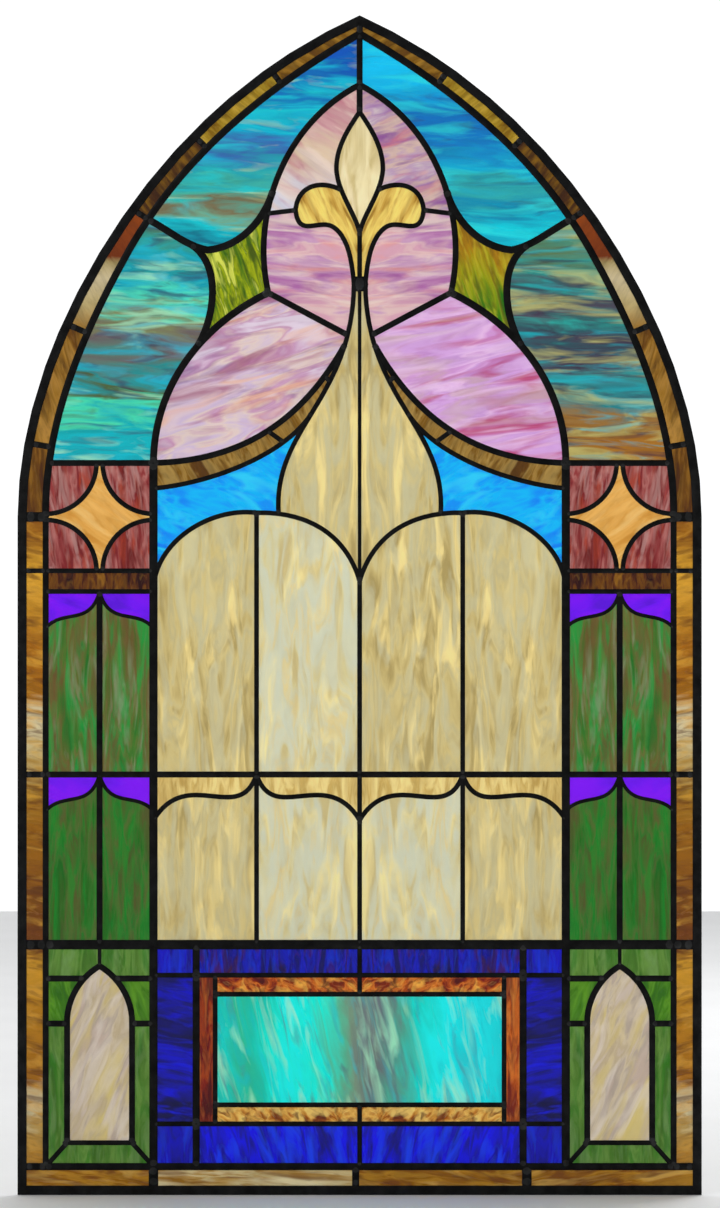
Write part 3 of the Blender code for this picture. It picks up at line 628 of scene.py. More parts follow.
def light_pieces():
    pieces = []
    spandrel_z = MID_Z - BASE_OGEE_DROP / 4
    inner, outer = LIGHT_X / 2, (LIGHT_X + COLUMN_X) / 2
    rows = ((1, inner, "cream_mid", "cream_cool"), (2, outer, "cream", "cream"))
    for number, x, tall_look, short_look in rows:
        tall = pair(f"cream_arch_{number}", x, (MID_Z + LINTEL_Z) / 2, tall_look)
        short = pair(f"cream_base_{number}", x, (PLINTH_Z + BASE_OGEE_Z) / 2, short_look)
        pieces += renamed(tall, "cream_arch") + renamed(short, "cream_base")
    pieces += pair("spandrel_inner", inner, spandrel_z, "golden", "spandrel_middle")
    return pieces + renamed(pair("spandrel_outer", outer, spandrel_z, "golden"), "spandrel")


# Place in the corner panes of a column, as a share of its width from its middle
CORNER_SHARE = 0.38


def column_pieces():
    pieces = pair("star", CELL_X, SPRING_Z, "star")
    pieces += pair("lintel", CELL_X, LINTEL_Z + LINTEL_RISE / 2, "lintel")
    corner = CORNER_SHARE * COLUMN_BAND
    quarter = COLUMN_BAND / 4
    for place, shift in (("inner", -1), ("outer", 1)):
        x = CELL_X + shift * corner
        pieces += pair(f"violet_upper_{place}", x, LINTEL_Z - OGEE_DROP / 4, "violet")
        pieces += pair(f"violet_lower_{place}", x, MID_Z - OGEE_DROP / 4, "violet")
        pieces += pair(f"star_corner_top_{place}", x, SPRING_Z + corner, "crimson")
        pieces += pair(f"star_corner_foot_{place}", x, SPRING_Z - corner, "crimson")
        x = CELL_X + shift * quarter
        upper = pair(f"green_upper_{place}", x, (MID_Z + LINTEL_Z) / 2, "moss")
        pieces += renamed(upper, "green_upper")
        lower = pair(f"green_lower_{place}", x, (PLINTH_Z + MID_Z) / 2, "fern")
        pieces += renamed(lower, "green_lower")
    return pieces + lancet_pieces()


def lancet_pieces():
    pieces = pair("lancet", CELL_X, (LANCET_FOOT_Z + LANCET_SPRING_Z) / 2, "pearl")
    around = pair("lancet_foot", CELL_X, (FOOT_Z + LANCET_FOOT_Z) / 2, "grass")
    side = (LANCET_HALF + COLUMN_BAND / 2) / 2
    for place, shift in (("inner", -1), ("outer", 1)):
        x = CELL_X + shift * COLUMN_BAND / 4
        around += pair(f"lancet_top_{place}", x, PLINTH_Z - SHOULDER_DROP / 2, "grass")
        x = CELL_X + shift * side
        shoulder_z = SHOULDER_FOOT_Z + SHOULDER_RISE / 2
        around += pair(f"lancet_shoulder_{place}", x, shoulder_z, "meadow")
        around += pair(f"lancet_side_{place}", x, (LANCET_FOOT_Z + SHOULDER_FOOT_Z) / 2, "grass")
    return pieces + renamed(around, "lancet_surround")


def panel_pieces():
    middle_z = (BLUE_FOOT_Z + BLUE_TOP_Z) / 2
    pieces = [Piece("turquoise_light", Vector((0, middle_z)), "turquoise_light", "turquoise", False)]
    blue, orange = "blue_frame", "orange_frame"
    corner_x = (BLUE_X + COLUMN_X) / 2
    for place, z in (("top", (BLUE_TOP_Z + PLINTH_Z) / 2), ("foot", (FOOT_Z + BLUE_FOOT_Z) / 2)):
        pieces += pair(f"blue_{place}", BLUE_X / 2, z, f"blue_{place}", blue)
        pieces += pair(f"blue_corner_{place}", corner_x, z, "blue_corner", blue)
    pieces += pair("blue_side", corner_x, middle_z, "blue_side", blue)
    rows = (("top", (ORANGE_TOP_Z + BLUE_TOP_Z) / 2), ("foot", (BLUE_FOOT_Z + ORANGE_FOOT_Z) / 2))
    for place, z in rows:
        pieces += pair(f"orange_{place}", BLUE_X / 2, z, f"gold_{place}", orange)
    return pieces + pair("orange_side", (ORANGE_X + BLUE_X) / 2, middle_z, "rust", orange)


# Recipes of the glass. Colours are what daylight shows through it, 0 to 255.

# A band is a place and a colour. Its place is along the streak noise from 0, its low end,
# to 1, or, where there is a slope, up or across the panel, and drift is how far streaks
# stray between the bands. Streaks have a length and a width in metres and a lean in
# degrees. A wisp is a colour, a threshold and an amount. Shade is how dark the deepest
# streaks are, and swirl how far they wander. The left pane of a pair has the mirrored
# pattern of the right one, unless mirror is off.
Recipe = namedtuple("Recipe", "bands length width lean wisps shade swirl slope drift mirror",
                    defaults=((), 0.72, 3.0, None, 0.3, True))
Slope = namedtuple("Slope", "axis start end")


# The stretch where most of the streak noise lies
STREAK_LOW = 0.15
STREAK_HIGH = 0.85


def even(*colours):
    """Bands at even steps over that stretch."""
    step = (STREAK_HIGH - STREAK_LOW) / (len(colours) - 1)
    return tuple((STREAK_LOW + step * i, *colour) for i, colour in enumerate(colours))


def up_the_head(low, high):
    """Slope between two shares of the head's rise."""
    return Slope("Z", SPRING_Z + low * HEAD_RISE, SPRING_Z + high * HEAD_RISE)


# Lean of streaks that run straight up the panel
UPRIGHT = 90

RECIPES = {
    "sky_upper_left": Recipe(
        ((0.0, 0, 120, 145), (0.09, 20, 190, 205), (0.16, 115, 168, 140), (0.24, 125, 112, 82),
         (0.32, 70, 178, 160), (0.42, 40, 165, 175), (0.5, 60, 112, 178), (0.6, 0, 170, 205),
         (0.74, 30, 200, 212), (0.83, 0, 122, 185), (1.0, 0, 90, 185)),
        0.085, 0.014, 2, ((30, 220, 226, 0.64, 0.55), (190, 205, 150, 0.69, 0.6)), 0.8,
        slope=up_the_head(0.545, 0.93), drift=0.2),
    "sky_upper_right": Recipe(
        ((0.0, 0, 170, 195), (0.12, 10, 205, 218), (0.22, 0, 140, 175), (0.32, 50, 168, 170),
         (0.42, 0, 172, 205), (0.56, 0, 125, 190), (0.72, 0, 115, 190), (0.84, 0, 172, 218),
         (1.0, 0, 192, 235)),
        0.1, 0.014, -2, ((50, 220, 222, 0.63, 0.65), (50, 78, 110, 0.68, 0.5)), 0.84,
        slope=up_the_head(0.545, 0.93), drift=0.18),
    "sky_lower_left": Recipe(
        ((0.0, 0, 160, 175), (0.1, 0, 178, 188), (0.19, 10, 172, 178), (0.25, 75, 215, 175),
         (0.32, 85, 100, 60), (0.39, 45, 150, 152), (0.46, 95, 122, 112), (0.53, 112, 100, 102),
         (0.61, 128, 132, 92), (0.68, 85, 222, 190), (0.78, 10, 152, 168), (0.88, 48, 160, 152),
         (1.0, 80, 130, 100)),
        0.08, 0.015, 3, ((175, 236, 195, 0.66, 0.7), (0, 190, 220, 0.65, 0.55),
         (60, 55, 95, 0.67, 0.6)), 0.8, swirl=3.5,
        slope=up_the_head(0.07, 0.62), drift=0.17),
    "sky_lower_right": Recipe(
        ((0.0, 75, 50, 25), (0.07, 172, 118, 45), (0.15, 158, 104, 40), (0.24, 152, 114, 62),
         (0.32, 40, 132, 140), (0.39, 60, 150, 150), (0.46, 75, 68, 85), (0.53, 55, 95, 105),
         (0.6, 50, 170, 160), (0.67, 82, 74, 90), (0.76, 45, 160, 152), (0.87, 98, 126, 88),
         (1.0, 50, 170, 155)),
        0.095, 0.014, -2, ((200, 196, 120, 0.65, 0.7), (0, 185, 200, 0.67, 0.6),
         (62, 46, 70, 0.65, 0.65)), 0.78, swirl=3.5,
        slope=up_the_head(0.07, 0.62), drift=0.15),
    "leaf_left": Recipe(
        even((80, 98, 0), (118, 136, 8), (168, 180, 22), (108, 130, 8), (212, 216, 88)),
        0.05, 0.008, 72, ((32, 98, 10, 0.62, 0.7),), swirl=2.5),
    "leaf_right": Recipe(
        ((0.0, 10, 100, 20), (0.22, 45, 125, 10), (0.45, 150, 155, 15), (0.7, 170, 125, 10),
         (1.0, 130, 90, 5)),
        0.045, 0.007, 108, ((200, 190, 50, 0.6, 0.6), (95, 70, 0, 0.64, 0.6)), 0.7, swirl=2.5,
        slope=up_the_head(0.36, 0.63), mirror=False),
    "rose_upper_left": Recipe(
        ((0.0, 210, 208, 220), (0.25, 212, 192, 184), (0.5, 220, 196, 168), (0.75, 206, 160, 162),
         (1.0, 192, 128, 138)),
        0.065, 0.015, 145, ((185, 105, 130, 0.65, 0.6), (236, 216, 200, 0.6, 0.6)), 0.9, swirl=3.5,
        slope=up_the_head(0.64, 0.86), drift=0.32, mirror=False),
    "rose_upper_right": Recipe(
        even((165, 125, 156), (192, 160, 166), (212, 184, 170), (184, 152, 182), (208, 192, 192)),
        0.07, 0.015, 20, ((138, 66, 155, 0.66, 0.7), (212, 112, 115, 0.67, 0.5)), 0.9, swirl=3.5),
    "rose_middle": Recipe(
        even((186, 132, 176), (210, 168, 192), (200, 154, 190), (228, 196, 192), (214, 164, 180)),
        0.11, 0.019, 6, ((158, 72, 152, 0.63, 0.7), (228, 148, 128, 0.66, 0.6),
         (232, 216, 204, 0.62, 0.6)), 0.9),
    "rose_lower_left": Recipe(
        even((220, 198, 206), (205, 184, 212), (224, 204, 194), (196, 148, 182), (222, 206, 220)),
        0.12, 0.024, -16, ((158, 66, 112, 0.63, 0.7), (232, 176, 132, 0.65, 0.65),
         (130, 84, 140, 0.68, 0.6)), 0.9, swirl=4.5),
    "rose_lower_right": Recipe(
        even((200, 145, 206), (214, 168, 222), (205, 156, 214), (228, 188, 226), (206, 150, 208)),
        0.12, 0.02, 12, ((185, 52, 100, 0.65, 0.85), (200, 170, 160, 0.62, 0.6),
         (234, 202, 234, 0.62, 0.5)), 0.9, swirl=4.0),
    "fleur_petal": Recipe(
        even((165, 120, 45), (205, 165, 75), (226, 196, 105), (190, 145, 60)),
        0.055, 0.009, 68, ((252, 226, 120, 0.58, 0.85),), 0.78, swirl=2.5),
    "fleur_bud": Recipe(
        even((205, 186, 130), (224, 206, 156), (238, 222, 180), (216, 198, 146)),
        0.08, 0.016, UPRIGHT, ((250, 238, 194, 0.6, 0.6),), 0.94),
    "cream": Recipe(
        even((178, 158, 100), (198, 178, 116), (212, 194, 132), (198, 186, 138), (214, 196, 134)),
        0.085, 0.017, UPRIGHT, ((250, 228, 154, 0.64, 0.8), (172, 152, 96, 0.66, 0.5),
         (202, 198, 162, 0.6, 0.6)), 0.92, swirl=4.0),
    "cream_cool": Recipe(
        even((204, 188, 134), (216, 204, 150), (212, 210, 178), (224, 206, 148), (208, 206, 174)),
        0.085, 0.02, UPRIGHT, ((250, 232, 162, 0.64, 0.8), (190, 170, 114, 0.67, 0.4),
         (208, 212, 190, 0.58, 0.7)), 0.94, swirl=4.0),
    "golden": Recipe(
        even((192, 160, 88), (218, 190, 116), (202, 170, 94), (232, 208, 134)),
        0.05, 0.01, UPRIGHT, ((252, 230, 155, 0.61, 0.7),), 0.88),
    "sash": Recipe(
        even((95, 62, 15), (140, 105, 45), (165, 130, 65), (125, 88, 30)),
        0.04, 0.009, 60, ((180, 150, 85, 0.62, 0.6),), 0.65),
    "azure": Recipe(
        even((0, 130, 238), (0, 158, 252), (0, 186, 254), (0, 148, 248)),
        0.06, 0.02, 20, ((60, 212, 254, 0.62, 0.6),), 0.95, swirl=4.0),
    "star": Recipe(
        even((205, 145, 60), (220, 165, 80), (230, 178, 95)),
        0.045, 0.009, 35, ((240, 200, 125, 0.62, 0.5),), 0.88),
    "crimson": Recipe(
        even((128, 44, 46), (156, 78, 76), (178, 112, 106), (146, 60, 60)),
        0.055, 0.009, 84, ((105, 5, 10, 0.61, 0.8), (188, 142, 136, 0.63, 0.7),
         (176, 66, 40, 0.66, 0.6)), 0.8),
    "lintel": Recipe(
        even((50, 24, 2), (84, 44, 5), (115, 72, 16), (68, 35, 4)),
        0.028, 0.009, UPRIGHT, ((160, 110, 36, 0.66, 0.6),), 0.7),
    "violet": Recipe(even((95, 0, 215), (115, 0, 240), (130, 0, 255)), 0.05, 0.02, 20, shade=0.9),
    "moss": Recipe(
        even((46, 116, 44), (74, 120, 46), (110, 106, 56), (62, 130, 58), (100, 96, 50)),
        0.08, 0.012, UPRIGHT, ((114, 84, 48, 0.6, 0.75), (28, 154, 66, 0.61, 0.75),
         (136, 154, 118, 0.65, 0.6)), 0.82),
    "fern": Recipe(
        even((38, 108, 32), (58, 116, 42), (88, 106, 50), (44, 122, 44), (76, 96, 42)),
        0.07, 0.009, UPRIGHT, ((96, 84, 46, 0.62, 0.65), (12, 138, 44, 0.6, 0.7)), 0.8),
    "grass": Recipe(
        even((64, 110, 36), (86, 128, 48), (104, 146, 64), (74, 120, 42)),
        0.05, 0.01, UPRIGHT, ((118, 156, 90, 0.62, 0.6), (40, 118, 26, 0.62, 0.6)), 0.8),
    "meadow": Recipe(
        even((52, 108, 5), (68, 126, 12), (92, 148, 34), (60, 116, 8)),
        0.045, 0.01, 70, ((104, 164, 44, 0.62, 0.5),), 0.8),
    "pearl": Recipe(
        even((194, 174, 158), (180, 165, 150), (208, 192, 164), (192, 174, 140), (204, 188, 172)),
        0.08, 0.017, 66, ((216, 196, 112, 0.61, 0.75), (226, 214, 200, 0.62, 0.6)), 0.92, swirl=3.5,
        mirror=False),
    "blue_top": Recipe(
        even((0, 0, 110), (0, 15, 150), (0, 35, 195), (20, 15, 100)),
        0.05, 0.01, UPRIGHT, ((75, 20, 45, 0.62, 0.75), (10, 60, 210, 0.64, 0.6)), 0.7),
    "blue_foot": Recipe(
        even((0, 0, 160), (0, 5, 205), (0, 20, 245), (0, 0, 175)),
        0.06, 0.014, 78, ((30, 80, 255, 0.62, 0.7), (25, 0, 85, 0.66, 0.85))),
    "blue_corner": Recipe(
        even((0, 0, 130), (0, 4, 165), (0, 15, 195), (0, 0, 145)),
        0.05, 0.012, UPRIGHT, ((20, 60, 225, 0.66, 0.6),)),
    "blue_side": Recipe(
        even((0, 0, 108), (0, 0, 152), (0, 5, 205), (0, 0, 125)),
        0.07, 0.016, 10, ((0, 0, 62, 0.61, 0.8), (10, 30, 240, 0.65, 0.6)), 0.66, swirl=3.5),
    "gold_top": Recipe(
        even((118, 32, 4), (180, 78, 18), (225, 128, 44), (148, 50, 7)),
        0.015, 0.009, 30, ((246, 188, 80, 0.63, 0.8), (60, 18, 4, 0.64, 0.8)), 0.68),
    "gold_foot": Recipe(
        even((155, 78, 22), (208, 145, 56), (236, 188, 92), (180, 104, 30)),
        0.015, 0.009, 30, ((250, 215, 120, 0.61, 0.8), (80, 30, 6, 0.66, 0.7))),
    "rust_left": Recipe(
        even((85, 16, 2), (130, 36, 8), (168, 66, 16), (105, 24, 4)),
        0.045, 0.009, UPRIGHT, ((215, 125, 45, 0.65, 0.6), (65, 8, 0, 0.64, 0.7))),
    "rust_right": Recipe(
        even((125, 40, 6), (174, 76, 18), (212, 110, 36), (150, 55, 10)),
        0.045, 0.009, UPRIGHT, ((230, 150, 62, 0.63, 0.6), (85, 18, 0, 0.65, 0.7))),
    "turquoise": Recipe(
        ((0.0, 20, 212, 198), (0.08, 45, 195, 155), (0.15, 25, 205, 182), (0.23, 20, 252, 234),
         (0.35, 20, 248, 225), (0.42, 90, 190, 155), (0.48, 125, 152, 128), (0.56, 112, 122, 126),
         (0.63, 80, 178, 155), (0.7, 25, 218, 205), (0.8, 0, 242, 240), (0.9, 5, 228, 232),
         (1.0, 0, 216, 220)),
        0.085, 0.015, 104, ((180, 246, 205, 0.66, 0.7), (95, 90, 125, 0.7, 0.6),
         (0, 196, 206, 0.64, 0.5)), 0.9, swirl=3.5, slope=Slope("X", -ORANGE_X, ORANGE_X), drift=0.11),
    "amber_side": Recipe(
        ((0.0, 168, 116, 34), (0.06, 182, 150, 84), (0.09, 212, 198, 156), (0.14, 160, 102, 20),
         (0.24, 182, 126, 30), (0.31, 204, 150, 44), (0.345, 116, 64, 12), (0.44, 138, 86, 14),
         (0.52, 156, 102, 24), (0.59, 168, 124, 40), (0.63, 192, 166, 106), (0.68, 214, 200, 158),
         (0.72, 166, 108, 26), (0.8, 164, 102, 18), (0.9, 214, 160, 50), (1.0, 148, 90, 16)),
        0.04, 0.01, 10, ((216, 162, 60, 0.62, 0.6), (92, 46, 5, 0.64, 0.6)), 0.74,
        slope=Slope("Z", FOOT_Z, SPRING_Z), drift=0.05),
    "amber_sill": Recipe(
        even((150, 105, 35), (185, 150, 85), (208, 190, 140), (172, 132, 62)),
        0.07, 0.01, 4, ((232, 218, 175, 0.62, 0.75), (118, 68, 14, 0.64, 0.6)), 0.82),
    "amber_foot": Recipe(
        even((122, 72, 6), (152, 100, 18), (180, 130, 36), (138, 84, 12)),
        0.06, 0.01, 8, ((215, 175, 90, 0.65, 0.6), (88, 44, 4, 0.64, 0.6)), 0.78),
    "umber_arch": Recipe(even((85, 50, 8), (114, 74, 18), (145, 100, 35)), 0.04, 0.007, 85, shade=0.6),
    "brown_arch": Recipe(
        even((105, 68, 18), (150, 108, 40), (175, 130, 60)),
        0.04, 0.007, 75, shade=0.6),
    "cream_arch_strip": Recipe(
        ((0.0, 160, 120, 55), (0.22, 186, 166, 114), (0.45, 202, 186, 148), (0.6, 172, 152, 100),
         (0.66, 120, 55, 12), (1.0, 138, 66, 16)),
        0.035, 0.007, 60, shade=0.7, slope=up_the_head(0.386, 0.605),
        drift=0.05),
    "olive_arch": Recipe(even((68, 42, 5), (92, 62, 14), (125, 88, 28)), 0.04, 0.007, 50, shade=0.6),
    "honey_arch": Recipe(
        even((135, 100, 20), (162, 132, 38), (185, 152, 55)),
        0.04, 0.007, 40, shade=0.65),
    "gold_arch": Recipe(
        even((100, 66, 12), (126, 88, 26), (160, 118, 42)),
        0.04, 0.007, 30, shade=0.65),
}

# The two tall middle lights are of different sheets
RECIPES["cream_mid_left"] = RECIPES["cream_cool"]
RECIPES["cream_mid_right"] = RECIPES["cream"]


# Materials

def linear(channel):
    """Light that a colour value of 0 to 255 stands for."""
    share = channel / 255
    return share / 12.92 if share <= 0.04045 else ((share + 0.055) / 1.055) ** 2.4


# Part of the daylight that the clearest glass would pass on, and the glare of the studio
# on its face
PASSED = 0.82
GLARE = 0.0110


def stain(colour):
    """Colour of the glass that daylight shows as this colour."""
    return tuple(max(0.0, linear(channel) - GLARE) / PASSED for channel in colour) + (1.0,)


def fed(tree, node, inputs):
    """The node, its inputs linked to outputs or set to values."""
    for name, value in inputs.items():
        if isinstance(value, bpy.types.NodeSocket):
            tree.links.new(value, node.inputs[name])
        else:
            node.inputs[name].default_value = value
    return node


def made(tree, kind, inputs, **options):
    """New node with its options and inputs."""
    node = tree.nodes.new(f"ShaderNode{kind}")
    for option, value in options.items():
        setattr(node, option, value)
    return fed(tree, node, inputs)


# Sockets of the Mix node that carry colours
FIRST_COLOUR = 6
SECOND_COLOUR = 7
MIXED_COLOUR = 2


class Shading:
    """Nodes of one material."""

    def __init__(self, name):
        self.material = bpy.data.materials.new(name)
        self.material.use_nodes = True
        self.tree = self.material.node_tree
        self.shader = self.tree.nodes["Principled BSDF"]
        self.place = made(self.tree, "TexCoord", {}).outputs["Object"]

    def shade(self, inputs):
        fed(self.tree, self.shader, inputs)

    def mapped(self, vector, scale=(1, 1, 1), shift=(0, 0, 0), turn=0.0):
        """Coordinates stretched, turned in the plane of the panel, then shifted."""
        inputs = {"Vector": vector, "Scale": scale, "Rotation": (0, turn, 0), "Location": shift}
        return made(self.tree, "Mapping", inputs).outputs["Vector"]

    def noise(self, vector, scale=1.0, detail=3.0, roughness=0.5, distortion=0.0, output="Fac"):
        inputs = {"Vector": vector, "Scale": scale, "Detail": detail, "Roughness": roughness,
                  "Distortion": distortion}
        return made(self.tree, "TexNoise", inputs).outputs[output]

    def swirled(self, vector, scale, amount):
        """Coordinates pushed about by a slow noise."""
        push = self.noise(vector, scale, detail=2.0, output="Color")
        inputs = {0: push, 1: (amount, amount, amount), 2: vector}
        return made(self.tree, "VectorMath", inputs, operation="MULTIPLY_ADD").outputs["Vector"]

    def sum(self, first, first_share, second, second_share, base=0.0):
        """Two values, each times its share, added to a base."""
        for value, share in ((first, first_share), (second, second_share)):
            inputs = {0: value, 1: share, 2: base}
            base = made(self.tree, "Math", inputs, operation="MULTIPLY_ADD").outputs["Value"]
        return base

    def graded(self, vector, slope):
        """From 0 to 1 between two places along an axis of the panel."""
        along_axis = made(self.tree, "SeparateXYZ", {"Vector": vector}).outputs[slope.axis]
        inputs = {"Value": along_axis, "From Min": slope.start, "From Max": slope.end}
        return made(self.tree, "MapRange", inputs, clamp=False).outputs["Result"]

    def ramp(self, value, bands):
        node = made(self.tree, "ValToRGB", {"Fac": value})
        stops = node.color_ramp.elements
        for stop, (place, colour) in zip((stops[0], stops[1]), (bands[0], bands[-1])):
            stop.position = place
            stop.color = colour
        for place, colour in bands[1:-1]:
            stops.new(place).color = colour
        return node.outputs["Color"]

    def mixed(self, share, first, second, blend="MIX"):
        """The second colour laid over the first, by a share."""
        inputs = {"Factor": share, FIRST_COLOUR: first, SECOND_COLOUR: second}
        node = made(self.tree, "Mix", inputs, data_type="RGBA", blend_type=blend)
        return node.outputs[MIXED_COLOUR]

    def bump(self, height, distance, below=None):
        inputs = {"Height": height, "Distance": distance}
        if below is not None:
            inputs["Normal"] = below
        return made(self.tree, "Bump", inputs).outputs["Normal"]


def grey(value):
    return (value, value, value, 1.0)


# Noises of the glass. Those of the streaks are stretched to their length and width, and
# each layer of wisps is a step finer than the one before.
SWIRL_SCALE = 0.45
BROAD_SCALE = 0.55
WISP_STEP = 0.2
BROAD_GRAIN = {"detail": 4.0, "roughness": 0.52, "distortion": 0.3}
FINE_GRAIN = {"scale": 2.2, "detail": 3.0, "roughness": 0.55, "distortion": 0.2}
PATCH_GRAIN = {"scale": 16.0, "detail": 2.0, "distortion": 0.4}
DEPTH_GRAIN = {"detail": 5.0, "roughness": 0.65}

# Shares of the broad and the fine streaks and of the patches, and what is added to each
# sum, so that it runs from 0 to 1
BROAD_SHARE = 2.4
FINE_SHARE = 0.7
STREAK_BASE = -1.55
PATCH_SHARE = 0.9
PATCH_BASE = 0.05

# A wisp fades in from this far below its threshold to this far above it
WISP_FROM = 0.13
WISP_TO = 0.02

# Depth noise where the glass is darkest, and where it is clear
DARKEST = 0.34
CLEAREST = 0.56

# How far the noises of one pane, one wisp and the depth lie from those of the next, across
# and up, and the relief of the rolled and the streaky surface
PANE_SHIFT = (0.37, 0.61)
WISP_SHIFT = (7.3, 3.1)
DEPTH_SHIFT = (3.3, 0, 9.2)
ROLLED = 0.00025
REAMY = 0.0003


def art_glass(name, look, flip, number):
    """Opalescent sheet glass: bands of colour drawn out into streaks, with wisps over them."""
    shading = Shading(name)
    plain = shading.mapped(shading.place, (-1 if flip else 1, 1, 1))
    shift = (PANE_SHIFT[0] * number, 0, PANE_SHIFT[1] * number)
    moved = shading.mapped(plain, shift=shift, turn=radians(look.lean))
    streaks = shading.mapped(moved, (1 / look.length, 1, 1 / look.width))
    flow = shading.swirled(streaks, SWIRL_SCALE, look.swirl)
    broad = shading.noise(flow, BROAD_SCALE, **BROAD_GRAIN)
    fine = shading.noise(flow, **FINE_GRAIN)
    streak = shading.sum(broad, BROAD_SHARE, fine, FINE_SHARE, STREAK_BASE)
    if look.slope is None:
        patch = shading.noise(moved, **PATCH_GRAIN)
        drift = shading.sum(streak, 1.0, patch, PATCH_SHARE, PATCH_BASE)
    else:
        drift = shading.sum(streak, look.drift, shading.graded(shading.place, look.slope), 1.0)
    colour = shading.ramp(drift, [(place, stain(band)) for place, *band in look.bands])
    for layer, (*wisp, threshold, amount) in enumerate(look.wisps, 1):
        own = shading.mapped(flow, shift=(WISP_SHIFT[0] * layer, 0, WISP_SHIFT[1] * layer))
        mask = shading.noise(own, BROAD_SCALE + WISP_STEP * layer, **BROAD_GRAIN)
        fade = ((threshold - WISP_FROM, grey(0)), (threshold + WISP_TO, grey(amount)))
        colour = shading.mixed(shading.ramp(mask, fade), colour, stain(wisp))
    depth = shading.noise(shading.mapped(flow, shift=DEPTH_SHIFT), **DEPTH_GRAIN)
    veil = shading.ramp(depth, ((DARKEST, grey(look.shade)), (CLEAREST, grey(1))))
    cloud = shading.noise(plain, scale=90.0, detail=2.0)
    rolled = shading.bump(shading.noise(plain, scale=140.0), ROLLED)
    reamy = shading.bump(fine, REAMY, rolled)
    shading.shade({
        "Base Color": shading.mixed(1.0, colour, veil, "MULTIPLY"),
        "Roughness": shading.ramp(cloud, ((0.3, grey(0.30)), (0.7, grey(0.42)))),
        "IOR": 1.4,
        "Transmission Weight": 0.8,
        "Specular IOR Level": 0.15,
        "Coat Weight": 0.14,
        "Coat Roughness": 0.08,
        "Normal": reamy,
        "Coat Normal": reamy,
    })
    return shading.material


# Lead: how much brighter it is where it is rubbed, how much rougher and smoother it wears,
# and the relief of its hammering and of its scratches
RUBBED = 2.6
ROUGHER = 0.12
SMOOTHER = 0.08
HAMMERED = 0.0003
SCRATCHED = 0.00008
SCRATCHES = (900, 900, 60)
SCRATCH_TURN = radians(30)


def dark_lead(name, tone, roughness):
    """Lead under a black patina, rubbed a little brighter in patches."""
    shading = Shading(name)
    rub = shading.noise(shading.place, scale=55.0, detail=5.0, roughness=0.6)
    dull = shading.ramp(rub, ((0.35, grey(tone)), (0.75, grey(tone * RUBBED))))
    worn = shading.ramp(rub, ((0.3, grey(roughness + ROUGHER)), (0.7, grey(roughness - SMOOTHER))))
    hammered = shading.bump(shading.noise(shading.place, scale=260.0, detail=4.0), HAMMERED)
    drawn_out = shading.mapped(shading.place, SCRATCHES, turn=SCRATCH_TURN)
    lines = shading.noise(drawn_out, detail=2.0)
    shading.shade({
        "Base Color": dull,
        "Roughness": worn,
        "Metallic": 0.9,
        "Normal": shading.bump(lines, SCRATCHED, hammered),
    })
    return shading.material


# Meshes

# Size of the triangles of the glass, how far its faces ripple, and the heart of a came
GRAIN = 0.005
RIPPLE = 0.00012
HEART = 0.0016

# Slow and quick ripples: their share, their scale across and up, and their seed
RIPPLES = ((0.8, 45, 30, 3.7), (0.3, 120, 80, 9.1))


def mesh_object(name, points, faces, material, sharp=35):
    """Object whose edges are sharp where its faces turn by more degrees than this."""
    mesh = bpy.data.meshes.new(name)
    mesh.from_pydata(points, [], faces)
    mesh.materials.append(material)
    work = bmesh.new()
    work.from_mesh(mesh)
    bmesh.ops.recalc_face_normals(work, faces=work.faces)
    work.to_mesh(mesh)
    work.free()
    mesh.shade_smooth()
    mesh.set_sharp_from_angle(angle=radians(sharp))
    piece = bpy.data.objects.new(name, mesh)
    LOOKS.objects.link(piece)
    return piece


def ripple(place, side):
    """How far the face of a sheet stands proud at a place. Art glass is never quite flat."""
    relief = 1.0
    for share, across, up, seed in RIPPLES:
        relief += share * noise.noise(Vector((place.x * across, side * seed, place.y * up)))
    return RIPPLE * relief / 2


def pane(piece, group, drawing, material):
    """A sheet of glass as thick as the solid's, its faces gently rippled."""
    number = {}
    front, back, faces = [], [], []
    edges = set()
    for i in group:
        for corner in drawing.triangles[i]:
            if corner not in number:
                number[corner] = len(number)
                place = drawing.places[corner]
                front.append((place.x, -GLASS / 2 - ripple(place, 1), place.y))
                back.append((place.x, GLASS / 2 + ripple(place, 2), place.y))
        edges.update(edges_of(drawing.triangles[i]))
    count = len(number)
    for i in group:
        a, b, c = (number[corner] for corner in drawing.triangles[i])
        faces.append((a, b, c))
        faces.append((count + c, count + b, count + a))
    for a, b in edges:
        if (b, a) not in edges:
            a, b = number[a], number[b]
            faces.append((a, count + a, count + b, b))
    return mesh_object(piece.name, front + back, faces, material)


def hex_grid():
    """Points all over the panel, in staggered rows."""
    points = []
    rise = GRAIN * sqrt(3) / 2
    row = 0
    while EDGE_FACE + row * rise < SPRING_Z + HEAD_RISE:
        z = EDGE_FACE + row * rise
        x = -OPENING_X + (row % 2) * GRAIN / 2
        while x < OPENING_X:
            points.append(Vector((x, z)))
            x += GRAIN
        row += 1
    return points


def swept(line, section, closed=False):
    """Points and faces of a section carried along a line in the plane of the panel. The
    section is a loop of steps across the line, to its right, and out of the panel."""
    columns = [offset(line, across, closed) for across, out in section]
    points = [(column[i].x, out, column[i].y)
              for i in range(len(line)) for column, (across, out) in zip(columns, section)]
    count = len(section)
    faces = []
    for i in range(len(line) if closed else len(line) - 1):
        near, far = i * count, (i + 1) % len(line) * count
        for k in range(count):
            n = (k + 1) % count
            faces.append((near + k, near + n, far + n, far + k))
    if not closed:
        faces.append(tuple(range(count))[::-1])
        faces.append(tuple((len(line) - 1) * count + k for k in range(count)))
    return points, faces


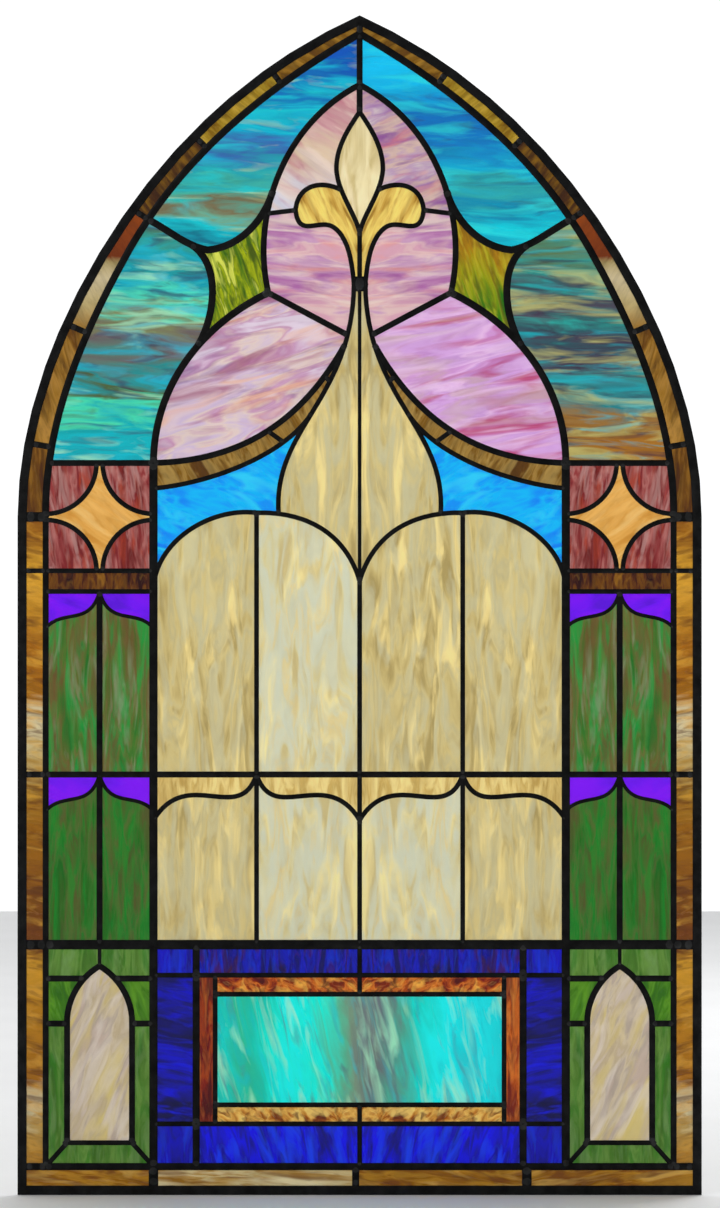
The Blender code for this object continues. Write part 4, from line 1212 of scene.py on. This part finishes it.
def add_to(points, faces, more):
    """Joins another set of points and faces to the first."""
    start = len(points)
    points += more[0]
    faces += [tuple(start + corner for corner in face) for face in more[1]]


# Depths of a came, from the middle of the glass: under its leaves, at their edges, and at
# its crown, which rises with its face up to a limit
UNDER_LEAF = 0.00168
LEAF_EDGE = 0.00205
CROWN_LEAST = 0.0024
CROWN_SHARE = 0.07
CROWN_LIMIT = 0.0031
DOME_STEPS = 10
DOME_POWER = 0.6


def crown_of(face):
    """Wider cames have higher crowns, within the depth of the edge came."""
    return min(CROWN_LIMIT, CROWN_LEAST + CROWN_SHARE * face)


def came_section(face):
    """H-section with a domed leaf over each face of the glass."""
    half = face / 2
    crown = crown_of(face)
    dome = []
    for step in range(DOME_STEPS + 1):
        across = -1 + 2 * step / DOME_STEPS
        rise = (1 - across**2) ** DOME_POWER
        dome.append((across * half, LEAF_EDGE + (crown - LEAF_EDGE) * rise))
    front = [(across, -out) for across, out in dome]
    right = [(half, -UNDER_LEAF), (HEART / 2, -UNDER_LEAF), (HEART / 2, UNDER_LEAF), (half, UNDER_LEAF)]
    left = [(-across, -out) for across, out in right]
    return front + right + dome[::-1] + left


TURN_STEPS = 3


def edge_section():
    """U-section with rounded edges, around the rim of the panel."""
    deep = EDGE_DEPTH / 2
    turn = EDGE_LEAF / 2
    inner = CHANNEL / 2
    angles = [radians(90 * step / TURN_STEPS) for step in range(TURN_STEPS + 1)]
    outs = [-deep + turn - turn * cos(angle) for angle in angles]
    rounded = [(EDGE_FACE - turn + turn * sin(angle), out) for angle, out in zip(angles, outs)]
    lip = [(turn - turn * sin(angle), out) for angle, out in zip(angles, outs)]
    front = [(0.0, -inner)] + lip[::-1] + rounded
    back = [(across, -out) for across, out in front[::-1]]
    floor = EDGE_BITE + CLEARANCE
    return front + back + [(floor, inner), (floor, -inner)]


def ended_at(line, outline):
    """The line, cut where it first crosses a closed outline."""
    kept = [line[0]]
    for near, far in zip(line, line[1:]):
        for a, b in edges_of(outline):
            crossing = intersect_line_line_2d(near, far, a, b)
            if crossing is not None:
                return kept + [crossing]
        kept.append(far)
    return kept


def build_edge(opening):
    points, faces = swept(opening, edge_section(), closed=True)
    material = dark_lead("edge_lead", tone=0.009, roughness=0.50)
    piece = mesh_object("edge_came", points, faces, material)
    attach(piece, "root")
    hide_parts("perimeter_came")


def build_cames(groups, cames):
    material = dark_lead("came_lead", tone=0.007, roughness=0.46)
    rest = cames
    for name, group in groups.items():
        points, faces = [], []
        own, rest = rest[:len(group)], rest[len(group):]
        for came in own:
            add_to(points, faces, swept(came.line, came_section(came.face)))
        piece = mesh_object(f"cames_{name}", points, faces, material)
        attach(piece, "root")
        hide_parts("lead_cames")


# Solder: its mesh, how far it stands proud of a came, and the curve and waviness of a mound
SOLDER_SIDES = 14
SOLDER_RINGS = 4
SOLDER_PROUD = 0.00022
MOUND_POWERS = (2.5, 0.8)
MOUND_WAVE = 0.10
WAVE_STEP = 1.5

# Solder on a joint, as shares of the came's face: how far in its middle lies, and its reach
JOINT_IN = 0.45
JOINT_REACH = 0.75
KNOT_REACH = 0.58


def puddle(centre, way, reach, face, side, seed):
    """Low mound of solder, reaching so far along a came and all across it."""
    across = Vector((way.y, -way.x))
    top = crown_of(face) + SOLDER_PROUD
    foot_power, top_power = MOUND_POWERS
    n = SOLDER_SIDES
    points, faces = [], []
    for ring in range(SOLDER_RINGS + 1):
        share = 1 - ring / SOLDER_RINGS
        out = side * (LEAF_EDGE + (top - LEAF_EDGE) * (1 - share**foot_power) ** top_power)
        for k in range(n if share else 1):
            turn = 2 * pi * k / n
            wave = noise.noise(Vector((cos(turn) * WAVE_STEP, sin(turn) * WAVE_STEP, seed)))
            wobble = 1 + MOUND_WAVE * wave
            long = reach * share * wobble
            wide = (face / 2 + SOLDER_PROUD) * share * wobble
            place = centre + way * (cos(turn) * long) + across * (sin(turn) * wide)
            points.append((place.x, out, place.y))
    for ring in range(SOLDER_RINGS - 1):
        for k in range(n):
            a, b = ring * n + k, ring * n + (k + 1) % n
            faces.append((a, b, b + n, a + n))
    last = (SOLDER_RINGS - 1) * n
    faces += [(last + k, last + (k + 1) % n, len(points) - 1) for k in range(n)]
    faces.append(tuple(range(n))[::-1])
    if side > 0:
        faces = [face_corners[::-1] for face_corners in faces]
    return points, faces


def mounds(cames):
    """Middle, direction, reach and width of the solder on each joint, and on the knot."""
    found = []
    for came in cames:
        first, last = came.line[0], came.line[-1]
        if came.face == KNOT_FACE:
            found.append(((first + last) / 2, Vector((1, 0)), KNOT_FACE * KNOT_REACH, came.face))
            continue
        for end, inner in ((first, came.line[1]), (last, came.line[-2])):
            way = (inner - end).normalized()
            middle = end + way * came.face * JOINT_IN
            found.append((middle, way, came.face * JOINT_REACH, came.face))
    return found


def build_solder(cames):
    material = dark_lead("solder_lead", tone=0.020, roughness=0.36)
    for side, name in ((-1, "front"), (1, "back")):
        points, faces = [], []
        for seed, (place, way, reach, face) in enumerate(mounds(cames)):
            add_to(points, faces, puddle(place, way, reach, face, side, seed))
        piece = mesh_object(f"solder_{name}", points, faces, material, sharp=60)
        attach(piece, "root")
        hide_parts("lead_cames")


def run_on(line, distance):
    """The line, a little longer at both ends."""
    head_on = (line[0] - line[1]).normalized() * distance
    tail_on = (line[-1] - line[-2]).normalized() * distance
    return [line[0] + head_on, *line[1:-1], line[-1] + tail_on]


def build_glass(cames, opening):
    limit = offset(opening, EDGE_BITE, closed=True)
    walls = [came._replace(line=run_on(came.line, HEART / 2)) for came in cames]
    drawing = drawn(limit, walls, HEART / 2 + CLEARANCE / 3, hex_grid())
    groups = joined(drawing.open, drawing.triangles)
    pieces = border_pieces() + head_pieces() + light_pieces() + column_pieces() + panel_pieces()
    for number, piece in enumerate(pieces):
        look = RECIPES[piece.recipe]
        twin = number - piece.name.endswith("right")
        material = art_glass(f"{piece.name}_glass", look, piece.flip and look.mirror, twin)
        made = pane(piece, region_at(groups, drawing, piece.point), drawing, material)
        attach(made, "root")
        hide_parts(piece.node)


# Studio

VIEW_X = 0.0005
VIEW_Z = 0.7895
VIEW_HEIGHT = 1.615
DISTANCE = 6.5
SENSOR = 24

# The studio is brighter behind the panel, so that its glass glows. Its light changes from
# front to back over this stretch of the way to the back.
BACK_LIGHT = 1.12
FRONT_LIGHT = 0.38
CHANGE_START = -0.4
CHANGE_END = 0.6
DAYLIGHT = (0.98, 0.99, 1.0, 1.0)

# Name, place, power and size of each lamp
LAMPS = (
    ("key", (-2.6, -3.0, 3.4), 30, 1.6),
    ("fill", (2.4, 3.0, 2.6), 64, 2.0),
)
FLOOR_SIZE = 12
FLOOR_DROP = 0.0005


def build_world():
    world = bpy.data.worlds.new("studio")
    world.use_nodes = True
    tree = world.node_tree
    place = made(tree, "TexCoord", {}).outputs["Generated"]
    depth = made(tree, "SeparateXYZ", {"Vector": place}).outputs["Y"]
    change = {"Value": depth, "From Min": CHANGE_START, "From Max": CHANGE_END,
              "To Min": FRONT_LIGHT, "To Max": BACK_LIGHT}
    light = made(tree, "MapRange", change, interpolation_type="SMOOTHSTEP").outputs["Result"]
    fed(tree, tree.nodes["Background"], {"Color": DAYLIGHT, "Strength": light})
    bpy.context.scene.world = world
    bpy.context.scene.view_settings.view_transform = "Standard"


def build_floor():
    bpy.ops.mesh.primitive_plane_add(size=FLOOR_SIZE, location=(0, 0, -FLOOR_DROP))
    floor = bpy.context.object
    floor.name = "floor"
    shading = Shading("floor")
    cloud = shading.noise(shading.place, scale=3.0, detail=4.0)
    pale = shading.ramp(cloud, ((0.3, grey(0.86)), (0.7, grey(0.90))))
    shading.shade({"Base Color": pale, "Roughness": 0.7})
    floor.data.materials.append(shading.material)


def build_lamps():
    for name, place, power, size in LAMPS:
        light = bpy.data.lights.new(name, "AREA")
        light.energy = power
        light.size = size
        lamp = bpy.data.objects.new(name, light)
        lamp.location = place
        aim = Vector((0, 0, VIEW_Z)) - lamp.location
        lamp.rotation_euler = aim.to_track_quat("-Z", "Y").to_euler()
        bpy.context.scene.collection.objects.link(lamp)


def build_camera():
    lens = bpy.data.cameras.new("camera")
    lens.sensor_fit = "VERTICAL"
    lens.sensor_height = SENSOR
    lens.lens = SENSOR * DISTANCE / VIEW_HEIGHT
    camera = bpy.data.objects.new("camera", lens)
    camera.location = (VIEW_X, -DISTANCE, VIEW_Z)
    camera.rotation_euler = (pi / 2, 0, 0)
    bpy.context.scene.collection.objects.link(camera)
    bpy.context.scene.camera = camera


LOOKS = bpy.data.collections.new("looks")
bpy.context.scene.collection.children.link(LOOKS)

OPENING = opening_outline()
GROUPS = cartoon()
CAMES = flattened([came for cames in GROUPS.values() for came in cames], CAME_FLAT)
ENDED = [came._replace(line=ended_at(came.line, OPENING)) for came in CAMES]
build_edge(OPENING)
build_cames(GROUPS, ENDED)
build_solder(ENDED)
build_glass(CAMES, OPENING)
build_world()
build_floor()
build_lamps()
build_camera()
